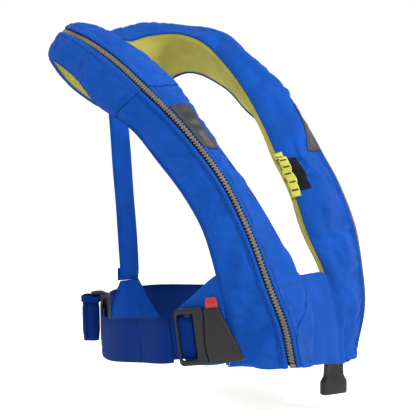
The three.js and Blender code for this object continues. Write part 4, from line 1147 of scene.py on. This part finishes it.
def ladder():
    """A lime strap that stands off the lobe in a low arch, sewn down with tacks painted near black as the
    shade in its slots, over a near-black sheet painted as its shadow.
    """
    steps = 60
    share = np.linspace(0, 1, steps)
    u = LADDER["low"] + (LADDER["high"] - LADDER["low"]) * share
    edge = surface_point(u, 0.3)[0]
    widths = np.array([neck_width(x) for x in u])
    inner, normal = surface_point(u, column_at(u, widths - 16, 0))
    across = unit(inner - edge)
    height = 1.6 + LADDER["bow"] * np.sin(math.pi * share)
    line = edge + across * (LADDER["width"] / 2 - WRAP) + normal * height[:, None]
    points, faces, uv = ribbon_mesh(line, across, LADDER["width"], 1.8)
    finish_mesh("ladder_webbing", points, faces, ladder_web, uv=uv,
                      replaces=["ladder_strip"])
    # dark bars across the strap where it is sewn down, painted near black as the shade in its slots
    slot_shade_tacks = []
    for k in range(6):
        i = int(steps * (0.1 + 0.15 * k))
        along = unit(line[min(i + 1, steps - 1)] - line[i - 1])
        up = unit(np.cross(across[i], along))
        up = up if up @ normal[i] > 0 else -up
        centre = line[i] + up * 1.0
        ring = []
        for a, r in ((-4.4, 0.3), (-3.6, 1), (3.6, 1), (4.4, 0.3)):
            ring.append([centre + across[i] * a + along * x * r + up * z * r for x, z in
                         ((1.15, 0), (0.8, 0.45), (-0.8, 0.45), (-1.15, 0), (-0.8, -0.6), (0.8, -0.6))])
        slot_shade_tacks.append(loft(ring))
    points, faces, _ = merge(slot_shade_tacks)
    finish_mesh("ladder_slots", points, faces, ladder_slot_shade, uv=points[:, :2])
    # painted shadow: a near-black sheet on the lobe under the strap's arch
    on_loop_patch("ladder_shadow_cloth", (LADDER["low"] + 0.006, LADDER["high"] - 0.006),
                            lambda u: (neck_width(u) - 22, neck_width(u) - 3),
                            ladder_shadow_sheet, ["ladder_backing"], 0.7)


ladder()


BLADDER_SHARE = 0.55  # of the loop's section


def bladder():
    """The folded bladder inside the covers: a slack coated tube that follows the loop."""
    first, last = FIRST + int(4 / SPANS * (ROWS - 1)), FIRST + int(20 / SPANS * (ROWS - 1))
    rings = []
    for i in range(first, last, 3):
        ring = SWOLLEN[i][::2]
        centre = ring.mean(0)
        share = min(1.0, (i - first) / 24, (last - i) / 24) ** 0.4 if first < i < last - 3 else 0.1
        folds = 1 + 0.05 * np.sin(np.arange(len(ring)) * 2.1 + i * 0.21)
        rings.append(centre + (ring - centre) * (BLADDER_SHARE * max(share, 0.1)) * folds[:, None])
    points, faces = loft(rings)
    finish_mesh("bladder_tube", points, faces, film, "root", ["bladder"])


bladder()


BRIDGE_TOP = 2.06 / SPANS
HANG = (9.0, 15.0)  # how far the bridge's foot hangs below its pattern, at its right and left


def bridge_cloth(name, ahead, behind, material, nodes, crown, over_lobe, top=BRIDGE_TOP):
    """The cloth bridge: a shallow cushion between the lobes, one sheet with the left one."""
    levels, across = 22, 26
    front, back, uv = [], [], []
    for i in range(levels):
        share = i / (levels - 1)
        u = top * share
        hang = (1 - share) ** 2
        right = CURVES[0](u)[0] - V(9, 0, HANG[0] * hang)
        left = CURVES[0](1 - u)[0] + V(0 if over_lobe else 9, 0, -HANG[1] * hang)
        pinch = max(0.0, 1 - abs(2 * share - 1) ** 6)
        depth, middle = (behind - ahead) / 2, (behind + ahead) / 2
        for j in range(across):
            t = j / (across - 1)
            point = right + (left - right) * t
            wave = 1.1 * noise.noise(Vector((t * 3.1, share * 4.2, 1.7))) * pinch
            y = middle - crown * 4 * t * (1 - t)
            front.append(point + V(0, y - depth * pinch ** 0.5 + wave, 0))
            back.append(point + V(0, y + depth * pinch ** 0.5, 0))
            uv.append((point[2], point[0] + WEAVE_START))
    if over_lobe:
        for left in (True, False):
            front, back, uv, across = run_over(front, back, uv, levels, across, left)
    faces = grid_faces(levels, across) + grid_faces(levels, across, first=levels * across, flip=True)
    n = levels * across
    rim = (list(range(across)) + [i * across + across - 1 for i in range(1, levels)]
           + [(levels - 1) * across + j for j in range(across - 2, -1, -1)]
           + [i * across for i in range(levels - 2, 0, -1)])
    for a, b in zip(rim, rim[1:] + rim[:1]):
        faces.append((a, a + n, b + n, b))
    obj = finish_mesh(name, front + back, faces, material, replaces=nodes, uv=uv + uv,
                      subdivide=1)
    return obj


RUN_COLUMNS = 16


def left_run(share):
    """A row of the bridge's sheet over the left lobe's neck side, which sinks in near its zip."""
    u = np.full(RUN_COLUMNS, 1 - BRIDGE_TOP * share * 0.985)
    distances = np.linspace(neck_width(u[0]) - 1, 15.0, RUN_COLUMNS)
    points, normals = surface_point(u, column_at(u, distances, 0))
    k = np.linspace(0, 1, RUN_COLUMNS)
    height = 1.5 * (1 - share) ** 0.5 * (1 - k) ** 0.3 + 0.5 - 2.4 * share ** 3 - 1.2 * k ** 4
    fall = HANG[1] * (1 - share) ** 2 * (1 - 0.35 * k ** 2)
    return points + normals * height[:, None] - np.outer(fall, V(0, 0, 1)), normals


def right_run(share):
    """A row over the right lobe: at the foot it reaches the zip, further up it draws back."""
    u = np.full(RUN_COLUMNS, BRIDGE_TOP * share * 0.985 + 0.0005)
    whole = neck_width(u[0])
    reach = 13.0 + (whole - 15.0) * min(1.0, max(0.0, (share - 0.3) / 0.6)) ** 1.3
    distances = np.linspace(reach, whole - 1.5, RUN_COLUMNS)
    points, normals = surface_point(u, column_at(u, distances, 0))
    fall = HANG[0] * (1 - share) ** 2 * (0.2 + 0.8 * np.linspace(0, 1, RUN_COLUMNS))
    return points + normals * 1.5 - np.outer(fall, V(0, 0, 1)), normals


def run_over(front, back, uv, levels, across, left):
    """The bridge's sheet, carried on over the neck side of one lobe."""
    carried = ([], [], [])
    share_across = np.arange(across) / (across - 1)
    near_end = np.clip((share_across - 0.55) / 0.45 if left else 1 - share_across / 0.5, 0, 1)
    for i in range(levels):
        points, normals = (left_run if left else right_run)(i / (levels - 1))
        own = slice(i * across, (i + 1) * across)
        sheet = np.array(front[own])
        step = points[0][1] - sheet[-1][1] if left else points[-1][1] - sheet[0][1]
        sheet[:, 1] += step * eased(near_end)
        under = points - normals * (2.5 if left else 2.8)
        laid = [(p[2], p[0] + WEAVE_START) for p in points]
        for out, old, new in zip(carried, (list(sheet), back[own], uv[own]),
                                 (list(points), list(under), laid)):
            out += old[:-1] + new if left else new + old[1:]
    return (*carried, across - 1 + RUN_COLUMNS)


bridge_cloth("bridge_front", -2.0, 9.0, cover, ["front_bridge"], 5.0, True)
bridge_cloth("bridge_lining", 9.35, 15.35, lining, ["front_bridge_lining"], 4.5, False,
             BRIDGE_TOP * 0.93)

# ---------------------------------------------------------------- buckle
BUCKLE = (V(-147, -110, 39), V(0.3224, -0.93632, 0.13917), V(0.94552, 0.32557, 0),
          V(-0.04531, 0.13159, 0.99027))
PLATE_TOP = 28.5


def buckle_piece(name, parts, material, body, node):
    """Parts in the buckle's own frame, made into one piece."""
    points, faces, _ = merge(parts)
    finish_mesh(name, place(points, BUCKLE), faces, material, body, [node])


def join_line(z):
    """Where the frame and the plate meet, along the buckle, at height z."""
    return -2.4 * math.cos(math.pi * z / 61) + 0.9 * math.sin(2 * math.pi * z / 61)


def buckle():
    outer = rounded_rectangle(34, 61, 5, 5, 9) + V(-17, 0)
    inner = rounded_rectangle(18, 49, 3, 5, 9) + V(-22, 0)
    outer = np.array([(x + (join_line(z) - 0.3 if x > -3 else 0), z) for x, z in outer])
    high = np.where(outer[:, 0] < -26, np.interp(outer[:, 0], [-34, -30, -26], [0, 0.6, 3.0]), 3.0)
    ring = hollow_frame(outer, inner, -3.2, high, 1.4)
    tongue = slab([(-3, -24.5), (14, -23), (14, 9.5), (-3, 11)], -1.5, 1.5, 0.5)
    notch = slab(rounded_rectangle(6, 5.5, 1) + V(-19, 24), -2.0, 1.0, 0.5)
    buckle_piece("side_buckle_frame", [ring, tongue, notch], black, "buckle_frame",
                 "buckle_frame")
    left = [(join_line(z) + 0.35, z) for z in np.linspace(PLATE_TOP, -30.5, 22)]
    right = [(37 - 1.2, -29.3), (36.6, -27.2)]
    slope = [(36.6 + (16.2 - 36.6) * t, -27.2 + (PLATE_TOP + 26) * t) for t in np.linspace(0.08, 0.97, 14)]
    top = [(15.6, PLATE_TOP - 0.3), (13.7, PLATE_TOP)]
    outline = np.array(left + right + slope + top)
    buckle_piece("side_buckle_plate", [slab(outline, -4.0, 4.0, 1.3, 4, 0.25)], black, "root",
                 "buckle_plate")
    tab = np.array([(2.4, 24), (15.2, 24), (15.4, 33), (14.2, 38.6), (13.2, 39.2), (4.4, 39.2), (3.2, 38.4),
                    (2.2, 33)])
    body = slab(even_outline(tab, 40), -2.1, 2.1, 0.9)
    ribs = [slab(rounded_rectangle(9.5, 0.8, 0.35) + V(8.7, z), -2.6, 2.6, 0.3) for z in (33.4, 35.2, 37.0)]
    buckle_piece("red_release_tab", [body] + ribs, red, "release_tab", "release_tab")


buckle()


def flap():
    """The soft pocket behind the buckle, sewn to the lobe along its front edge."""
    outline = np.array([(-36, 6), (-38, 12), (-38.5, 20), (-36, 27), (-30, 31.5), (-20, 38), (-8, 46),
                        (6, 56), (18, 63), (20.5, 58), (20, 20), (20, 0), (20, -20), (19, -31),
                        (8, -33), (-8, -33), (-22, -31), (-31, -26), (-35, -16),
                        (-36.5, -4)], float)[::-1]
    points, faces = slab(even_outline(outline, 48), 4.4, 8.4, 1.9, 4, 0.8)
    for k, p in enumerate(points):
        points[k, 1] += 0.5 * noise.noise(Vector((p[0] / 14, p[2] / 11, 2.2)))
    obj = finish_mesh("buckle_pocket", place(points, BUCKLE), faces, cover, "root",
                      ["pocket_flap"], uv=points[:, [0, 2]] + 100, subdivide=1)


flap()

# ---------------------------------------------------------------- waist belt
BELT_POINTS = [
    (-151, -20, 26), (-144, 16, 21), (-131, 48, 17), (-112, 76, 18), (-64, 112, 26), (-32, 132, 32),
    (32, 132, 32), (66, 122, 31), (104, 96, 29), (132, 56, 29), (145, 4, 31), (145, -56, 35), (138, -112, 40)]
BELT_WIDTH, BELT_THICK = 47.0, 2.0
LOBE_SPAN = 13  # the span of the belt past which it runs on into the left lobe
WEB_WIDTH = 50.0  # the webbing as it lies, a little fuller than its pattern
LOOP_MIDDLE = 1.9  # the belt's middle behind the buckle's middle plane
ENDS = [place([V(x, LOOP_MIDDLE, 0)], BUCKLE)[0] for x in (-36.125, -54)]
BELT_CURVE = spline([tuple(p) for p in ENDS] + BELT_POINTS)
BELT_SPANS = len(BELT_POINTS) + 1


def belt_line(first, last, per_span=14):
    t = np.linspace(first, last, int((last - first) * per_span) + 1) / BELT_SPANS
    return BELT_CURVE(t)


def belt_piece(name, first, last, nodes, body="root", drop=1.5):
    line = belt_line(first, last)
    sag = lambda along, across: 0.35 * math.sin(along * 9 + across * 1.3) - 0.25 * (1 - across * across)
    at = np.linspace(first, last, len(line))
    if last > LOBE_SPAN:
        line = np.vstack([line, resample(np.array([line[-1], (134, -124, 41), (120, -134, 42)]), 3.0)[1:]])
    at = np.concatenate([at, np.full(len(line) - len(at), last)])
    line = line - V(0, 0, drop)
    tuck = 0.6 * np.exp(-((at - 5.5) / 0.62) ** 2)
    points, faces, uv = ribbon_mesh(line, V(0, 0, 1), WEB_WIDTH, BELT_THICK, sag, tuck)
    return finish_mesh(name, points, faces, belt_web, body, nodes, uv)


near = belt_piece("belt_near_webbing", 0.32, 2.0, ["belt_near"], None)
tuple(belt_line(1.9, 2.0)[-1] * MM)
tuple(belt_line(0.32, 0.5)[0] * MM)
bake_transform(near)
belt_piece("belt_right_webbing", 2.0, 5.45, ["belt_right"])
belt_piece("belt_back_webbing", 5.5, 13.9, ["belt_back"], drop=-1.0)

loop_x = np.linspace(-42, -15.6, 12)
line = [V(x, LOOP_MIDDLE, 0) for x in loop_x]
points, faces, uv = ribbon_mesh(line, V(0, 0, 1), BELT_WIDTH - 0.4, BELT_THICK)
finish_mesh("belt_fold_webbing", place(points, BUCKLE), faces, belt_web, "buckle_frame",
            ["belt_loop"], uv)


def adjuster():
    """The belt's slide adjuster, and the spare end of the belt rolled up beside it."""
    z_axis = V(-0.10573, -0.0793, 0.99123)
    here = (V(-87.048, 94.714, 28.212), V(0.79298, 0.59474, 0.13216), V(-0.6, 0.8, 0), z_axis)
    ring = hollow_frame(rounded_rectangle(10.2, 67.2, 4.6, 6, 8), rounded_rectangle(4.2, 60.2, 2.0, 6, 8),
                        -10, 10, 1.6)
    ring = ring[0][:, [1, 0, 2]], [f[::-1] for f in ring[1]]
    arms = [slab(rounded_rectangle(1.6, 46, 0.7) + V(x, 0), 4.6, 5.9, 0.5) for x in (-6.5, -3.5, 3.5, 6.5)]
    path = [V(0, y, z) for y, z in ((-2, 14), (-2, 27), (-0.5, 32.0), (4, 35.0), (10, 35.0), (17, 33.6))]
    arms.append(tube_mesh(resample(np.array(path), count=18), 3.1, 12, 1.0, V(1, 0, 0))[:2])
    points, faces, _ = merge([ring] + arms)
    finish_mesh("slide_adjuster", place(points, here), faces, black, "adjuster",
                ["belt_adjuster"])
    line, turns, steps, roll = [], 2.4, 149, V(0, 17.5, 0)
    for k in range(steps + 1):
        a = 2 * math.pi * turns * k / steps
        grow = 0.34 + 0.66 * k / steps
        line.append(V(6.2 * grow * math.cos(a), 11.3 * grow * math.sin(a), 0) + roll)
    points, faces, uv = ribbon_mesh(np.array(line), V(0, 0, 1), BELT_WIDTH + 8, 1.5)
    for point in points:
        tuck = max(0.0, abs(point[2]) - 22) / 6
        point[:2] = roll[:2] + (point[:2] - roll[:2]) * (1 - 0.16 * tuck ** 2)
        point[0] += 0.8 * noise.noise(Vector((point[1] / 5, point[2] / 7, 3.0))) * (point[2] > 12)
    points[:, 2] += 1.5
    turn = [V(7.4 * math.cos(a), 12.2 * math.sin(a), 28.0 + 0.8 * math.sin(3 * a)) + roll
            for a in np.linspace(0, 2 * math.pi, 40)]
    cuff = ribbon_mesh(np.array(turn), V(0, 0, 1), 7.5, 1.2)
    points, faces, uv = merge([(points, faces, uv), cuff])
    finish_mesh("belt_end_roll", place(points, here), faces, belt_web, "adjuster",
                ["belt_roll"], uv)


adjuster()


def gusset():
    """The triangular sleeve that joins the back strap to the belt and wraps round it."""
    belt = belt_line(5.2, 9.8, 30)
    middle = belt[np.argmin(np.abs(belt[:, 0]) + (belt[:, 1] < 100) * 999)]
    s = arc_lengths(belt)
    centre = s[np.argmin(np.linalg.norm(belt - middle, axis=1))]
    high, low = 68.1, 6.0
    rows, columns = 20, 24
    rings, uv = [], []
    for i in range(rows):
        t = i / (rows - 1)
        z = low + (high - low) * t
        half = 18 + 43 * (1 - t) ** 1.05
        thick = 3.6 if z < 56 else max(1.3, 3.6 - (z - 56) * 0.2)
        ring = []
        for j in range(2 * columns):
            front = j < columns
            a = (j if front else 2 * columns - 1 - j) / (columns - 1) * 2 - 1
            at = centre + a * half
            p, q = (V(*[np.interp(x, s, belt[:, k]) for k in range(3)]) for x in (at, at + 1))
            normal = unit(np.cross(unit(q - p), V(0, 0, 1)))
            edge = max(0.0, 1 - abs(a) ** 10) ** 0.5
            fold = 1.5 * math.exp(-((a * half - 34 + (z - low) * 0.62) / 2.6) ** 2)
            fold += 1.2 * math.exp(-((a * half + 13 - (high - z) * 0.2) / 1.8) ** 2)
            p = V(p[0], p[1], 0) + normal * (1 if front else -1) * (thick * (0.3 + 0.7 * edge))
            p = p - normal * fold * (1 if front else 0) * edge
            ring.append(V(p[0], p[1], z))
            uv.append((z + 50, a * half + 100))
        rings.append(ring)
    points, faces = loft(rings)
    finish_mesh("strap_sleeve", points, faces, gusset_cloth, "root", ["strap_gusset"], uv)


gusset()


STRAP_WIDTH = 37.0


def back_strap():
    top = CURVES[2](0.5)[0]
    foot = V(0, 134.7, 68.45)
    control = [foot, foot + V(0, 0.6, 34), V(0, top[1] - 4, top[2] - 30), V(0, top[1], top[2] + 6)]
    s = np.linspace(0, 1, 60)
    line = spline([tuple(c) for c in control])(s)
    line[:, 0] += 0.5 * np.sin(s * 5.0)
    sag = lambda along, across: 0.3 * math.sin(along * 14 + across)
    points, faces, uv = ribbon_mesh(line, V(1, 0, 0), STRAP_WIDTH, 1.8, sag)
    finish_mesh("back_strap_webbing", points, faces, strap_web, "root", ["back_strap"], uv)
    line = np.array([V(0, 137.85, z) for z in np.linspace(68.6, 85.3, 8)])
    points, faces, uv = ribbon_mesh(line, V(1, 0, 0), STRAP_WIDTH, 1.8)
    finish_mesh("back_strap_fold", points, faces, strap_web, "root", ["strap_overlap"], uv)
    lines = []
    for y, out in ((138.85, V(0, 1, 0)), (133.7, V(0, -1, 0))):
        a, b, c, d = V(-12.5, y, 71), V(12.5, y, 71), V(12.5, y, 83), V(-12.5, y, 83)
        for p, q in ((a, b), (b, c), (c, d), (d, a), (a, c), (b, d)):
            seam = resample(np.array([p, q]), 1.5)
            lines.append((seam, np.tile(out, (len(seam), 1))))
    seam_stitches("strap_stitching", lines, blue_thread, "strap_webbing", pitch=2.6, length=1.9, radius=0.3)


back_strap()


def pull_handle():
    """Moulded pull: a neck that widens into a foot, with a thumb recess on its face."""
    levels = np.concatenate([np.linspace(0, -30, 14), np.linspace(-32, -54, 22), [-55.2, -55.8, -56]])
    rings = []
    count = 40
    for z in levels:
        half = np.interp(z, [-56, -55.4, -54, -40.5, -33, -20, 0], [16.2, 17.2, 17.7, 17.7, 12.8, 12.0, 12.0])
        depth = np.interp(z, [-56, -55.4, -54, -20, 0], [3.8, 4.6, 5, 4.8, 4.8])
        ring = []
        for k in range(count):
            a = 2 * math.pi * k / count
            c, s = math.cos(a), math.sin(a)
            x = half * math.copysign(abs(c) ** 0.28, c)
            y = depth * math.copysign(abs(s) ** 0.28, s)
            if y < 0:
                hollow = math.exp(-(((x + 4.5) / 7.5) ** 2 + ((z + 30) / 13) ** 2) ** 2)
                y += 2.6 * hollow
            ring.append(V(x, y, z))
        rings.append(ring)
    points, faces = loft(rings)
    finish_mesh("firing_handle", place(points, HANDLE), faces, black, "handle",
                ["pull_handle"])


pull_handle()

# ---------------------------------------------------------------- floor, light and camera
def floor_material():
    s = Shader("pale_floor")
    cloud = s.noise(s.coords("Object"), 3, 2)
    tone = s.mix(s.ramp(cloud, 0.3, 0.7), (0.93, 0.93, 0.93), (0.97, 0.97, 0.97))
    return s.done(tone, 0.9, None, Emission_Color=(1, 1, 1), Emission_Strength=0.5)


FLOOR_HALF, FLOOR_HEIGHT = 12000, -75
corners = [(x * FLOOR_HALF, y * FLOOR_HALF, FLOOR_HEIGHT) for x, y in ((-1, -1), (1, -1), (1, 1), (-1, 1))]
floor = finish_mesh("floor", corners, [(0, 1, 2, 3)], floor_material(), body=None, smooth=False)

world = bpy.data.worlds.new("studio")
bpy.context.scene.world = world
world.use_nodes = True
sky = world.node_tree
direction = sky.nodes.new("ShaderNodeTexCoord")
height = sky.nodes.new("ShaderNodeSeparateXYZ")
level = sky.nodes.new("ShaderNodeMapRange")
level.inputs["From Min"].default_value, level.inputs["From Max"].default_value = 0.3, 0.75
level.inputs["To Min"].default_value, level.inputs["To Max"].default_value = 1.0, 0.4
sky.links.new(direction.outputs["Generated"], height.inputs[0])
sky.links.new(height.outputs["Z"], level.inputs["Value"])
sky.links.new(level.outputs[0], sky.nodes["Background"].inputs["Strength"])
sky.nodes["Background"].inputs["Color"].default_value = (1, 1, 1, 1)


def area_light(name, location, target, size, power):
    light = bpy.data.lights.new(name, "AREA")
    light.shape = "DISK"
    light.size = size
    light.energy = power
    obj = bpy.data.objects.new(name, light)
    bpy.context.scene.collection.objects.link(obj)
    obj.location = location
    obj.rotation_euler = (Vector(target) - Vector(location)).to_track_quat("-Z", "Y").to_euler()


CENTRE = (0, 0, 0.168)  # what the lights and the camera look at, in metres
for name, location, size, power in (("key", (0.5, -1.3, 1.2), 0.7, 26),
                                    ("top", (-0.75, -0.25, 1.35), 0.3, 11),
                                    ("rim", (0.9, 1.2, 1.2), 0.9, 5)):
    area_light(name, location, CENTRE, size, power)

SENSOR, FOCAL_TO_SENSOR = 36, 855 / 416
AZIMUTH, PITCH, DISTANCE = math.radians(-53), math.radians(1.541), 1.080
camera = bpy.data.cameras.new("camera")
camera.sensor_width = SENSOR
camera.lens = FOCAL_TO_SENSOR * SENSOR
view_from = bpy.data.objects.new("camera", camera)
bpy.context.scene.collection.objects.link(view_from)
back = Vector((math.sin(AZIMUTH) * math.cos(PITCH), -math.cos(AZIMUTH) * math.cos(PITCH), math.sin(PITCH)))
view_from.location = Vector(CENTRE) + back * DISTANCE
view_from.rotation_mode = "QUATERNION"
view_from.rotation_quaternion = (-back).to_track_quat("-Z", "Y")
bpy.context.scene.camera = view_from
bpy.context.scene.view_settings.view_transform = "Standard"
